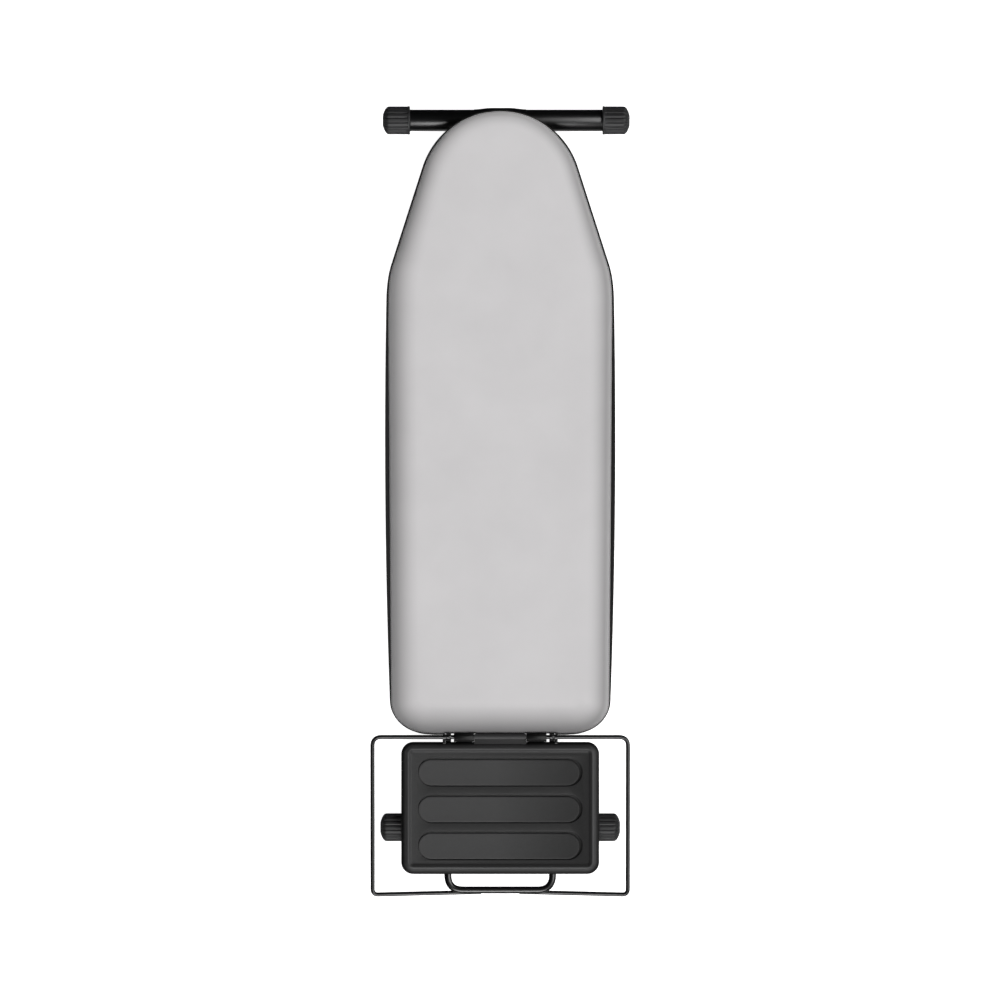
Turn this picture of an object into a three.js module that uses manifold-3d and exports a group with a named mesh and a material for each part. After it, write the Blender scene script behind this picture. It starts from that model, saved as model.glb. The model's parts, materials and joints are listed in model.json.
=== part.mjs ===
// A folding ironing board with a steam station rest, lying folded on the floor.
// Units are millimetres. +X is to the right, +Y towards the nose of the board, +Z up, and the origin is on
// the floor, under the middle of the whole object.
// Two pairs of leg tubes cross at one pivot, as a scissor does. The inner pair runs from the front foot to a
// fixed axle under the tail; the outer pair runs from the rear foot to a crossbar that slides in a notched
// channel. Both feet stay level on the floor, because the leg sleeves turn on the foot bars.
import * as THREE from "three";
import { mergeVertices } from "three/addons/utils/BufferGeometryUtils.js";
import Module from "manifold-3d";

const wasm = await Module();
wasm.setup();

// ---- Driving dimensions ----
const GAP = 0.3; // clearance between pieces that touch
const BAR_SIDES = 24; // facets round a large bar
const PIN_SIDES = 14; // facets round a pin, a bush or a wire

// Board
const NOSE_Y = 776;
const TAIL_Y = -461;
const NOSE_RADIUS = 162;
const TAPER = THREE.MathUtils.degToRad(17.8);
const TAPER_END = new THREE.Vector2(216.3, 470);
const SIDE_START = new THREE.Vector2(226, 400);
const SIDE_END = new THREE.Vector2(219, -397);
const TOP_Z = 98; // ironing surface above the floor, folded
const MESH_Z = 84.3; // underside of the steel mesh
const MESH_THICK = 0.6;
const RIM_Z = [68, 84];
const RIM_WALL = 1.5;
const RIM_WIDTH = 14;
const BAND_THICK = 2.5;
const BAND_Z = [63, 88];
const RIM_INSET = BAND_THICK + 1;
const HEM_WIDTH = 30;
const FOAM_Z = [85.2, 90.4];
const FOAM_INSET = 12;
const COVER_Z = [88.3, TOP_Z];
const COVER_EDGE = 3; // black band seen beyond the grey cover
const COVER_SLOPE = 26; // width of the cover's sloping edge

// Feet
const FOOT_Z = 27.5; // axis of the foot bars
const FRONT_FOOT_Y = 757.5;
const REAR_FOOT_Y = -648.2;
const FRONT_FOOT_X = 12; // the front foot sits a little to the right
const FRONT_FOOT_HALF = 245.4;
const REAR_FOOT_HALF = 238.3;
const BAR_RADIUS = 21.5;
const BAR_WALL = 1.5;
const CAP_RADIUS = 28.5;
const CAP_LENGTH = 54;
const CAP_END = 8; // thickness of the closed end
const CAP_FLUTES = 18;
const FLUTE_DEPTH = 1.4;
const SOLE = { length: 40, half: 11, height: 3.2 };

// Legs
const TUBE_RADIUS = 16;
const TUBE_WALL = 1.5;
const INNER_X = 30; // tubes of the front leg
const OUTER_X = 72; // tubes of the rear leg
const SLEEVE_RADIUS = 25;
const LINK = 450; // crossing pivot to either top pivot
const TOP_PIVOT_Z = 58;
const PIVOT_Y = (FRONT_FOOT_Y + REAR_FOOT_Y) / 2;
const TOP_REACH = Math.sqrt(LINK ** 2 - (TOP_PIVOT_Z - FOOT_Z) ** 2);
const AXLE_Y = PIVOT_Y - TOP_REACH; // fixed top pivot, under the tail
const SLIDER_Y = PIVOT_Y + TOP_REACH; // sliding crossbar when folded
const PIVOT_PIN_RADIUS = 5;
const AXLE_RADIUS = 6;
const CROSSBAR_RADIUS = 7;
const SLIDER_RADIUS = 9;
const EAR_THICK = 5;
const EAR_TOP = 12;
const TUBE_OVERRUN = 15; // tube end past its top pivot

// Height channel, with the notches that the crossbar seats in
const CHANNEL_X = 40;
const CHANNEL_WALL = 3;
const WEB_THICK = 2.5;
const CHANNEL_Y = [92, 530];
const CHANNEL_Z = [45, 80.7];
const SLOT_CLEAR = 0.5;
const NOTCH_DEPTH = 8;
const NOTCH_ANGLES = [49, 45, 41, 37, 33, 29, 25]; // leg angles, in degrees
const RAIL_Z = [81, 84];

// Height lever
const LEVER_X = 110;
const LEVER_Z = 77;
const LEVER_Y = [126, 424];
const LEVER_ROD = 4;
const PUSHER_X = 45;

// Transport lock
const LOCK_PIN = new THREE.Vector3(-45, SLIDER_Y - 16.6, 74);

// Steam station rest
const REST_AXIS = { y: -467.5, z: 92 };
const WIRE_RADIUS = 4.2;
const RAIL_HALF = 253.5;
const RAIL_REAR_Y = -781.8;
const RAIL_REAR_Z = 49.3;
const ARM_X = 102.5;
const ARM_Z = 61;
const ARM_RADIUS = 7;
const ARM_REAR_Y = -768.4;
const TRAY = { y: -608.8, halfX: 196.5, halfY: 131.2, corner: 24, bottom: 68.3, floor: 79, rim: 84 };
const PAD = { half: 163, radius: 28.5, pitch: 73, y: -610, bottom: 76.3, top: 78.2 };
const SADDLE_X = [52, 92]; // clear of the inner legs' ears

// ---- Helpers ----
const material = (color, roughness, metalness) =>
  new THREE.MeshStandardMaterial({ color, roughness, metalness });
const looks = {
  blackSteel: material(0x161616, 0.3, 0.4),
  zincSteel: material(0xb0b2b4, 0.35, 0.9),
  meshSteel: material(0x3a3b3d, 0.5, 0.6),
  capPlastic: material(0x2c2c2c, 0.55, 0),
  trayPlastic: material(0x2a2a2a, 0.6, 0),
  padRubber: material(0x333333, 0.75, 0),
  soleRubber: material(0x1c1c1c, 0.85, 0),
  nylon: material(0xd8d6d0, 0.5, 0),
  cotton: material(0xcbc9ca, 0.9, 0),
  blackTrim: material(0x0d0d0d, 0.85, 0),
  foam: material(0xe6e2d6, 0.95, 0),
};

function toSolid(geometry) {
  const bare = geometry.clone();
  bare.deleteAttribute("normal");
  bare.deleteAttribute("uv");
  const merged = mergeVertices(bare, 1e-3);
  return new wasm.Manifold(
    new wasm.Mesh({
      numProp: 3,
      vertProperties: merged.attributes.position.array,
      triVerts: new Uint32Array(merged.index.array),
    }),
  );
}

function toGeometry(solid) {
  const mesh = solid.getMesh();
  const geometry = new THREE.BufferGeometry()
    .setAttribute("position", new THREE.BufferAttribute(mesh.vertProperties, 3))
    .setIndex(new THREE.BufferAttribute(mesh.triVerts, 1));
  geometry.computeVertexNormals();
  return geometry;
}

const cut = (body, ...tools) => toGeometry(tools.reduce((s, t) => s.subtract(toSolid(t)), toSolid(body)));
const join = (...pieces) => toGeometry(pieces.map(toSolid).reduce((a, b) => a.add(b)));
const common = (a, b) => toGeometry(toSolid(a).intersect(toSolid(b)));

const box = (x, y, z) =>
  new THREE.BoxGeometry(x[1] - x[0], y[1] - y[0], z[1] - z[0]).translate(
    (x[0] + x[1]) / 2,
    (y[0] + y[1]) / 2,
    (z[0] + z[1]) / 2,
  );

// A solid bar along X or Y.
const barX = (radius, x, y, z, sides = PIN_SIDES) =>
  new THREE.CylinderGeometry(radius, radius, x[1] - x[0], sides)
    .rotateZ(Math.PI / 2)
    .translate((x[0] + x[1]) / 2, y, z);
const barY = (radius, x, y, z, sides = PIN_SIDES) =>
  new THREE.CylinderGeometry(radius, radius, y[1] - y[0], sides).translate(x, (y[0] + y[1]) / 2, z);

// An open-ended tube about +Y, turned from its wall section.
function pipe(outer, inner, length, sides) {
  const section = [
    [inner, 0],
    [outer, 0],
    [outer, length],
    [inner, length],
    [inner, 0],
  ];
  return new THREE.LatheGeometry(
    section.map(([r, y]) => new THREE.Vector2(r, y)),
    sides,
  );
}
const pipeX = (outer, inner, x, y, z, sides = PIN_SIDES) =>
  pipe(outer, inner, x[1] - x[0], sides)
    .rotateZ(-Math.PI / 2)
    .translate(x[0], y, z);
const pipeY = (outer, inner, x, y, z, sides = PIN_SIDES) =>
  pipe(outer, inner, y[1] - y[0], sides).translate(x, y[0], z);

// A flat plate whose outline is drawn in Y and Z, and whose thickness runs along X.
function plateX(shape, x) {
  const turn = new THREE.Matrix4().makeBasis(
    new THREE.Vector3(0, 1, 0),
    new THREE.Vector3(0, 0, 1),
    new THREE.Vector3(1, 0, 0),
  );
  return new THREE.ExtrudeGeometry(shape, { depth: x[1] - x[0], bevelEnabled: false, curveSegments: 8 })
    .applyMatrix4(turn)
    .translate(x[0], 0, 0);
}

const polygon = (points) => new THREE.Shape(points.map(([x, y]) => new THREE.Vector2(x, y)));

const prism = (outline, z) =>
  new THREE.ExtrudeGeometry(new THREE.Shape(outline), { depth: z[1] - z[0], bevelEnabled: false }).translate(
    0,
    0,
    z[0],
  );

// A closed solid through rings of equal length, from the first ring's cap to the last one's.
function loft(rings) {
  const count = rings[0].outline.length;
  const positions = rings.flatMap(({ outline, z }) => outline.flatMap((p) => [p.x, p.y, z]));
  const faces = [];
  for (let r = 0; r < rings.length - 1; r++)
    for (let i = 0; i < count; i++) {
      const a = r * count + i;
      const b = r * count + ((i + 1) % count);
      faces.push(a, a + count, b, b, a + count, b + count);
    }
  const last = (rings.length - 1) * count;
  THREE.ShapeUtils.triangulateShape(rings[0].outline, []).forEach(([a, b, c]) => faces.push(a, b, c));
  THREE.ShapeUtils.triangulateShape(rings.at(-1).outline, []).forEach(([a, b, c]) =>
    faces.push(last + a, last + c, last + b),
  );
  return new THREE.BufferGeometry()
    .setAttribute("position", new THREE.Float32BufferAttribute(positions, 3))
    .setIndex(faces);
}

// The route of a bent bar: straight runs between corners, each corner rounded to its radius.
function bent(corners, steps = 5) {
  const route = [corners[0].at];
  corners.slice(1, -1).forEach(({ at, radius }, i) => {
    const before = corners[i].at.clone().sub(at).normalize();
    const after = corners[i + 2].at.clone().sub(at).normalize();
    const reach = radius / Math.tan(before.angleTo(after) / 2);
    const curve = new THREE.QuadraticBezierCurve3(
      at.clone().addScaledVector(before, reach),
      at,
      at.clone().addScaledVector(after, reach),
    );
    route.push(...curve.getPoints(steps));
  });
  route.push(corners.at(-1).at);
  return route;
}

// A solid round bar along a route, with flat ends.
function bentBar(route, radius, sides = 10) {
  const positions = [];
  let across = new THREE.Vector3(0, 0, 1);
  route.forEach((point, i) => {
    const into = point.clone().sub(route[Math.max(i - 1, 0)]).normalize();
    const out = route[Math.min(i + 1, route.length - 1)].clone().sub(point).normalize();
    const along = into.add(out).normalize();
    const side = new THREE.Vector3().crossVectors(along, across).normalize();
    across = new THREE.Vector3().crossVectors(side, along);
    for (let k = 0; k < sides; k++) {
      const angle = (2 * Math.PI * k) / sides;
      const spoke = side.clone().multiplyScalar(Math.cos(angle)).addScaledVector(across, Math.sin(angle));
      positions.push(...point.clone().addScaledVector(spoke, radius).toArray());
    }
  });
  const faces = [];
  for (let r = 0; r < route.length - 1; r++)
    for (let k = 0; k < sides; k++) {
      const a = r * sides + k;
      const b = r * sides + ((k + 1) % sides);
      faces.push(a, a + sides, b, b, a + sides, b + sides);
    }
  const last = (route.length - 1) * sides;
  for (let k = 1; k < sides - 1; k++) faces.push(0, k, k + 1, last, last + k + 1, last + k);
  return new THREE.BufferGeometry()
    .setAttribute("position", new THREE.Float32BufferAttribute(positions, 3))
    .setIndex(faces);
}

// ---- Scene ----
const ironingBoard = new THREE.Group();

function add(name, geometry, look) {
  const mesh = new THREE.Mesh(geometry, look);
  mesh.name = name;
  ironingBoard.add(mesh);
}

const SIDES = [
  ["left", -1],
  ["right", 1],
];
const span = (centre, half) => [centre - half, centre + half];
const mirrored = (side, from, to) => [side * from, side * to].sort((a, b) => a - b);

// ---- Board outline ----
// The nose is an arc, the taper a straight line, the sides bow out a little, and the tail has round corners.
function boardOutline() {
  const path = new THREE.Path();
  path.moveTo(0, NOSE_Y);
  path.absarc(0, NOSE_Y - NOSE_RADIUS, NOSE_RADIUS, Math.PI / 2, TAPER, true);
  path.lineTo(TAPER_END.x, TAPER_END.y);
  path.quadraticCurveTo(225.2, 442.2, SIDE_START.x, SIDE_START.y);
  path.quadraticCurveTo(233.5, 0, SIDE_END.x, SIDE_END.y);
  path.bezierCurveTo(217.5, -432, 186, -460.5, 146, TAIL_Y);
  path.lineTo(0, TAIL_Y);
  const right = path.getPoints(5);
  const left = right
    .slice(1, -1)
    .reverse()
    .map((p) => new THREE.Vector2(-p.x, p.y));
  return [...right, ...left].filter((p, i, all) => i === 0 || p.distanceTo(all[i - 1]) > 1e-3).reverse();
}

// The outline moved inwards. It runs anticlockwise, so its inside is on the left.
function inset(outline, distance) {
  return outline.map((p, i) => {
    const before = outline[(i + outline.length - 1) % outline.length];
    const after = outline[(i + 1) % outline.length];
    const into = p.clone().sub(before).normalize();
    const out = after.clone().sub(p).normalize();
    const normal = new THREE.Vector2(-into.y - out.y, into.x + out.x).normalize();
    const stretch = distance / Math.max(0.5, normal.x * -into.y + normal.y * into.x);
    return p.clone().addScaledVector(normal, stretch);
  });
}

const outline = boardOutline();

function ring(outer, inner, z) {
  const shape = new THREE.Shape(outer);
  shape.holes.push(new THREE.Path(inner));
  return new THREE.ExtrudeGeometry(shape, { depth: z[1] - z[0], bevelEnabled: false }).translate(0, 0, z[0]);
}

// ---- Board top: rim, mesh, foam, cover and its black band ----
function boardTop() {
  const rim = cut(
    ring(inset(outline, RIM_INSET), inset(outline, RIM_INSET + RIM_WIDTH), RIM_Z),
    prism(inset(outline, RIM_INSET + RIM_WALL), [RIM_Z[0] - 1, RIM_Z[1] - RIM_WALL]),
  );
  add("rim_frame", rim, looks.blackSteel);
  add("board_mesh", prism(inset(outline, RIM_INSET), [MESH_Z, MESH_Z + MESH_THICK]), looks.meshSteel);
  add("foam_pad", prism(inset(outline, FOAM_INSET), FOAM_Z), looks.foam);

  const band = join(
    ring(outline, inset(outline, BAND_THICK), BAND_Z),
    ring(inset(outline, 1), inset(outline, HEM_WIDTH), [BAND_Z[0], BAND_Z[0] + BAND_THICK]),
  );
  add("cover_band", band, looks.blackTrim);

  const foamHollow = prism(inset(outline, FOAM_INSET - GAP), [FOAM_Z[0] - 4, FOAM_Z[1] + GAP]);
  const cover = loft([
    { outline: inset(outline, COVER_EDGE + COVER_SLOPE), z: TOP_Z },
    { outline: inset(outline, COVER_EDGE + COVER_SLOPE * 0.35), z: TOP_Z - 2.8 },
    { outline: inset(outline, COVER_EDGE), z: COVER_Z[0] + 2.2 },
    { outline: inset(outline, COVER_EDGE), z: COVER_Z[0] },
  ]);
  add("grey_cover", cut(cover, foamHollow), looks.cotton);
}

// ---- Rails that carry the channel and the rear axle ----
function crossRails() {
  const inside = prism(inset(outline, RIM_INSET + RIM_WIDTH + GAP), [RIM_Z[0], RIM_Z[1] + 1]);
  const rails = [
    ["front_cross_rail", [497, 527]],
    ["middle_cross_rail", [92, 122]],
    ["rear_cross_rail", [-432, -376]],
  ];
  for (const [name, y] of rails) add(name, common(box([-250, 250], y, RAIL_Z), inside), looks.blackSteel);
}

// ---- Height channel ----
function heightChannel() {
  const slot = SLIDER_RADIUS + SLOT_CLEAR;
  const rise = Math.asin((TOP_PIVOT_Z - FOOT_Z) / LINK);
  const reachAt = (degrees) => AXLE_Y + 2 * LINK * Math.cos(rise + THREE.MathUtils.degToRad(degrees));
  const slotEnds = [reachAt(NOTCH_ANGLES[0]), SLIDER_Y];
  const openings = (x) => [
    box(x, slotEnds, span(TOP_PIVOT_Z, slot)),
    ...slotEnds.map((y) => barX(slot, x, y, TOP_PIVOT_Z)),
    ...NOTCH_ANGLES.flatMap((degrees) => [
      box(x, span(reachAt(degrees), slot), [TOP_PIVOT_Z, TOP_PIVOT_Z + NOTCH_DEPTH]),
      barX(slot, x, reachAt(degrees), TOP_PIVOT_Z + NOTCH_DEPTH),
    ]),
  ];
  for (const [side, sign] of SIDES) {
    const wall = span(sign * CHANNEL_X, CHANNEL_WALL / 2);
    const through = span(sign * CHANNEL_X, CHANNEL_WALL);
    const lockHole = barX(3 + GAP, through, LOCK_PIN.y, LOCK_PIN.z);
    const plate = cut(box(wall, CHANNEL_Y, CHANNEL_Z), ...openings(through), lockHole);
    add(`channel_side_${side}`, plate, looks.zincSteel);
  }
  const webHalf = CHANNEL_X - CHANNEL_WALL / 2 - GAP;
  const webZ = [CHANNEL_Z[1] - WEB_THICK, CHANNEL_Z[1]];
  add("channel_web", box([-webHalf, webHalf], CHANNEL_Y, webZ), looks.zincSteel);
}

// ---- Rear axle and its two brackets ----
function rearPivot() {
  for (const [side, sign] of SIDES) {
    const lug = new THREE.Shape();
    lug.moveTo(AXLE_Y + 18, RAIL_Z[0] - GAP);
    lug.lineTo(AXLE_Y - 18, RAIL_Z[0] - GAP);
    lug.lineTo(AXLE_Y - EAR_TOP, TOP_PIVOT_Z);
    lug.absarc(AXLE_Y, TOP_PIVOT_Z, EAR_TOP, Math.PI, 2 * Math.PI, false);
    const flange = box(
      mirrored(sign, 53, 80),
      span(AXLE_Y, 18),
      [RAIL_Z[0] - GAP - 3, RAIL_Z[0] - GAP],
    );
    const bracket = join(plateX(lug, mirrored(sign, 53, 56)), flange);
    const bore = barX(AXLE_RADIUS + GAP, mirrored(sign, 50, 60), AXLE_Y, TOP_PIVOT_Z);
    add(`axle_bracket_${side}`, cut(bracket, bore), looks.zincSteel);
  }
  const axle = join(
    barX(AXLE_RADIUS, [-60, 60], AXLE_Y, TOP_PIVOT_Z),
    barX(AXLE_RADIUS + 3.5, [-60, -56.5], AXLE_Y, TOP_PIVOT_Z, 6),
    barX(AXLE_RADIUS + 3.5, [56.5, 60], AXLE_Y, TOP_PIVOT_Z, 6),
  );
  add("rear_axle", axle, looks.zincSteel);
}

// ---- Feet ----
// A fluted cap with a domed end, pushed onto the bar's end, and a rubber sole let into its flat underside.
function footCap(sign, endX, y) {
  const flutes = [];
  for (let i = 0; i < CAP_FLUTES; i++) {
    const step = (2 * Math.PI) / CAP_FLUTES;
    const angle = (i + 0.5) * step;
    for (const [turn, depth] of [
      [-0.3, 0],
      [0.3, 0],
      [0.5, FLUTE_DEPTH],
    ]) {
      const radius = CAP_RADIUS - depth;
      const at = angle + turn * step;
      flutes.push(new THREE.Vector2(radius * Math.cos(at), radius * Math.sin(at)));
    }
  }
  const body = prism(flutes, [0, CAP_LENGTH]).rotateY((sign * Math.PI) / 2);
  const dome = new THREE.LatheGeometry(
    [
      [0, 0],
      [CAP_RADIUS + 1, 0],
      [CAP_RADIUS + 1, CAP_LENGTH - 9],
      [CAP_RADIUS - 2.6, CAP_LENGTH - 3.4],
      [CAP_RADIUS - 8.5, CAP_LENGTH],
      [0, CAP_LENGTH],
    ].map(([r, h]) => new THREE.Vector2(r, h)),
    BAR_SIDES,
  ).rotateZ((-sign * Math.PI) / 2);
  const startX = endX - sign * CAP_LENGTH;
  const shell = common(body, dome).translate(startX, y, FOOT_Z);
  const boreX = mirrored(1, startX - sign, endX - sign * CAP_END);
  const bore = barX(BAR_RADIUS + GAP, boreX, y, FOOT_Z, BAR_SIDES);
  const under = box(span(endX - (sign * CAP_LENGTH) / 2, CAP_LENGTH), span(y, 40), [-5, SOLE.height + GAP]);
  return cut(shell, bore, under);
}

function foot(name, centreX, half, y) {
  const capInner = half - CAP_END - 1;
  const bar = pipeX(BAR_RADIUS, BAR_RADIUS - BAR_WALL, span(centreX, capInner), y, FOOT_Z, BAR_SIDES);
  add(`${name}_foot_bar`, bar, looks.blackSteel);
  for (const [side, sign] of SIDES) {
    const endX = centreX + sign * half;
    add(`${name}_foot_cap_${side}`, footCap(sign, endX, y), looks.capPlastic);
    const soleX = span(endX - sign * (CAP_LENGTH / 2 + 3), SOLE.length / 2);
    add(`${name}_foot_sole_${side}`, box(soleX, span(y, SOLE.half), [0, SOLE.height]), looks.soleRubber);
  }
}

// ---- Legs ----
// An ear is a plate beside a tube's top end. It raises the pivot above the tube, so that the legs fold flat.
function ear(x, pivotY, direction, boreRadius) {
  const back = pivotY - direction * 52;
  const front = pivotY + direction * TUBE_OVERRUN;
  const low = FOOT_Z - 10;
  const shape = new THREE.Shape();
  shape.moveTo(back, low);
  shape.lineTo(front - direction * 4, low);
  shape.lineTo(front, low + 6);
  shape.lineTo(pivotY + direction * EAR_TOP, TOP_PIVOT_Z);
  const from = direction > 0 ? 0 : Math.PI;
  shape.absarc(pivotY, TOP_PIVOT_Z, EAR_TOP, from, from + direction * Math.PI, direction < 0);
  shape.lineTo(back, FOOT_Z + 12);
  return cut(plateX(shape, x), barX(boreRadius, [x[0] - 1, x[1] + 1], pivotY, TOP_PIVOT_Z));
}

function legTube(x, y, footY) {
  const tube = pipeY(TUBE_RADIUS, TUBE_RADIUS - TUBE_WALL, x, y, FOOT_Z, 20);
  const reach = span(x, TUBE_RADIUS + 1);
  return cut(
    tube,
    barX(SLEEVE_RADIUS + GAP, reach, footY, FOOT_Z, BAR_SIDES),
    barX(PIVOT_PIN_RADIUS + GAP, reach, PIVOT_Y, FOOT_Z),
  );
}

const sleeve = (x, y) => pipeX(SLEEVE_RADIUS, BAR_RADIUS + GAP, x, y, FOOT_Z, BAR_SIDES);

function brace(half, y, tubeX) {
  const bar = barX(9, [-half, half], y, FOOT_Z);
  const tubes = SIDES.map(([, sign]) => barY(TUBE_RADIUS + GAP, sign * tubeX, span(y, 30), FOOT_Z, 20));
  return cut(bar, ...tubes);
}

function frontLeg() {
  for (const [side, sign] of SIDES) {
    const tube = legTube(sign * INNER_X, [AXLE_Y - TUBE_OVERRUN, FRONT_FOOT_Y - 4], FRONT_FOOT_Y);
    add(`front_leg_tube_${side}`, tube, looks.blackSteel);
    const earX = mirrored(sign, INNER_X + TUBE_RADIUS + GAP, INNER_X + TUBE_RADIUS + GAP + EAR_THICK);
    add(`front_leg_ear_${side}`, ear(earX, AXLE_Y, -1, AXLE_RADIUS + GAP), looks.blackSteel);
  }
  add("front_leg_sleeve", sleeve([-52, 52], FRONT_FOOT_Y), looks.blackSteel);
  add("front_leg_brace", brace(INNER_X, 640, INNER_X), looks.blackSteel);
}

function rearLeg() {
  for (const [side, sign] of SIDES) {
    const tube = legTube(sign * OUTER_X, [REAR_FOOT_Y + 4, SLIDER_Y + TUBE_OVERRUN], REAR_FOOT_Y);
    add(`rear_leg_tube_${side}`, tube, looks.blackSteel);
    add(`rear_leg_sleeve_${side}`, sleeve(span(sign * OUTER_X, 22), REAR_FOOT_Y), looks.blackSteel);
    const earX = mirrored(sign, OUTER_X - TUBE_RADIUS - GAP - EAR_THICK, OUTER_X - TUBE_RADIUS - GAP);
    add(`rear_leg_ear_${side}`, ear(earX, SLIDER_Y, 1, CROSSBAR_RADIUS + GAP), looks.blackSteel);
    const bushX = mirrored(sign, CHANNEL_X - 5, CHANNEL_X + 8);
    const bush = pipeX(SLIDER_RADIUS, CROSSBAR_RADIUS + GAP, bushX, SLIDER_Y, TOP_PIVOT_Z);
    add(`slider_bush_${side}`, bush, looks.nylon);
    const spacerX = mirrored(sign, INNER_X + TUBE_RADIUS + GAP, OUTER_X - TUBE_RADIUS - GAP);
    const spacer = pipeX(11, PIVOT_PIN_RADIUS + GAP, spacerX, PIVOT_Y, FOOT_Z);
    add(`cross_pivot_spacer_${side}`, spacer, looks.nylon);
  }
  add("slider_crossbar", barX(CROSSBAR_RADIUS, [-60, 60], SLIDER_Y, TOP_PIVOT_Z), looks.zincSteel);
  add("rear_leg_brace", brace(OUTER_X, -520, OUTER_X), looks.blackSteel);
  const headStart = OUTER_X + TUBE_RADIUS + 0.5;
  const pin = join(
    barX(PIVOT_PIN_RADIUS, [-headStart - 5, headStart + 5], PIVOT_Y, FOOT_Z),
    barX(9, [-headStart - 5, -headStart], PIVOT_Y, FOOT_Z, 6),
    barX(9, [headStart, headStart + 5], PIVOT_Y, FOOT_Z, 6),
  );
  add("cross_pivot_pin", pin, looks.zincSteel);
}

// ---- Height lever ----
// A rocker on a long rod. Squeezing its grip up to the board tips its pusher down onto the crossbar's bush,
// which leaves its notch.
function heightLever() {
  const pusherY = [136, 410];
  const pusherLow = TOP_PIVOT_Z + NOTCH_DEPTH + SLIDER_RADIUS + GAP;
  const gripY = [215, 335];
  const arm = polygon([
    [LEVER_X, LEVER_Z + 3],
    [LEVER_X, LEVER_Z - 3],
    [152, 60],
    [186, 58],
    [186, 60.5],
    [153, 63],
  ]);
  const armPlate = new THREE.ExtrudeGeometry(arm, { depth: gripY[1] - gripY[0] - 30, bevelEnabled: false })
    .rotateX(Math.PI / 2)
    .translate(0, gripY[1] - 15, 0);
  const rocker = join(
    barY(LEVER_ROD, LEVER_X, LEVER_Y, LEVER_Z),
    box([PUSHER_X - 1, LEVER_X], pusherY, [LEVER_Z + 2, LEVER_Z + 3.8]),
    box([PUSHER_X - 1, PUSHER_X + 1], pusherY, [pusherLow, LEVER_Z + 3.8]),
    armPlate,
  );
  add("lever_rocker", rocker, looks.zincSteel);
  const handle = polygon([
    [158, 50],
    [186, 48],
    [193, 53],
    [193, 62],
    [187, 67],
    [160, 68],
    [155, 62],
    [154, 55],
  ]);
  const grip = new THREE.ExtrudeGeometry(handle, { depth: gripY[1] - gripY[0], bevelEnabled: false })
    .rotateX(Math.PI / 2)
    .translate(0, gripY[1], 0);
  const socket = new THREE.ExtrudeGeometry(
    polygon([
      [150, 59],
      [186.5, 57.5],
      [186.5, 61],
      [150, 64],
    ]),
    { depth: gripY[1] - gripY[0] - 29, bevelEnabled: false },
  )
    .rotateX(Math.PI / 2)
    .translate(0, gripY[1] - 14.5, 0);
  add("lever_grip", cut(grip, socket), looks.capPlastic);

  for (const [end, y] of [
    ["rear", [LEVER_Y[0] + 2, LEVER_Y[0] + 5]],
    ["front", [LEVER_Y[1] - 5, LEVER_Y[1] - 2]],
  ]) {
    const flangeY = [y[0], y[1] + 12];
    const bracket = join(
      box(span(LEVER_X, 11), y, [LEVER_Z - 8, MESH_Z - GAP]),
      box(span(LEVER_X, 11), flangeY, [MESH_Z - GAP - 2.5, MESH_Z - GAP]),
    );
    const bore = barY(LEVER_ROD + GAP, LEVER_X, [y[0] - 1, y[1] + 1], LEVER_Z);
    add(`lever_bracket_${end}`, cut(bracket, bore), looks.zincSteel);
  }
  const spring = pipeY(LEVER_ROD + 2.4, LEVER_ROD + GAP, LEVER_X, [412, 418.5], LEVER_Z);
  add("lever_spring", spring, looks.zincSteel);
}

// ---- Transport lock: a catch that swings down behind the folded crossbar ----
function transportLock() {
  const { x, y, z } = LOCK_PIN;
  const shape = new THREE.Shape();
  shape.moveTo(y, z - 5.5);
  shape.absarc(y, z, 5.5, -Math.PI / 2, Math.PI / 2, false);
  shape.lineTo(y - 24, z + 4);
  shape.lineTo(y - 30, z + 5.5);
  shape.lineTo(y - 30, z - 3);
  shape.lineTo(y - 24, z - 5);
  const pin = barX(3, [x - 2, x + 9], y, z);
  add("transport_catch", join(plateX(shape, [x - 3, x + 2.5]), pin), looks.capPlastic);
}

// ---- Steam station rest ----
function hingeSaddles() {
  const { y, z } = REST_AXIS;
  const rear = y - 9.5;
  for (const [side, sign] of SIDES) {
    const x = mirrored(sign, ...SADDLE_X);
    const profile = polygon([
      [rear, 54],
      [-418, 54],
      [-418, RAIL_Z[0] - GAP],
      [-430, RAIL_Z[0] - GAP],
      [-430, 61.5],
      [TAIL_Y - GAP, 61.5],
      [TAIL_Y - GAP, z + 3],
      [y + 2, z + 6],
      [y - 6, z + 6],
      [rear, z + 2],
    ]);
    const bore = barX(WIRE_RADIUS + GAP, [x[0] - 1, x[1] + 1], y, z);
    add(`hinge_saddle_${side}`, cut(plateX(profile, x), bore), looks.capPlastic);
  }
}

function restKnuckles() {
  const { y, z } = REST_AXIS;
  const front = TAIL_Y - GAP;
  const rear = TRAY.y + TRAY.halfY + GAP;
  for (const [side, sign] of SIDES) {
    const x = span(sign * ARM_X, 5);
    const shape = polygon([
      [front, z],
      [front, ARM_Z - 5],
      [front - 3, ARM_Z - 7],
      [-500, ARM_Z - 7],
      [-500, TRAY.bottom - GAP],
      [rear, TRAY.bottom - GAP],
      [rear, z - 7],
      [y - 6, z - 2],
    ]);
    const hub = barX(6, x, y, z);
    const knuckle = cut(join(plateX(shape, x), hub), barX(WIRE_RADIUS + GAP, [x[0] - 1, x[1] + 1], y, z));
    add(`rest_knuckle_${side}`, knuckle, looks.blackSteel);
  }
}

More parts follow.
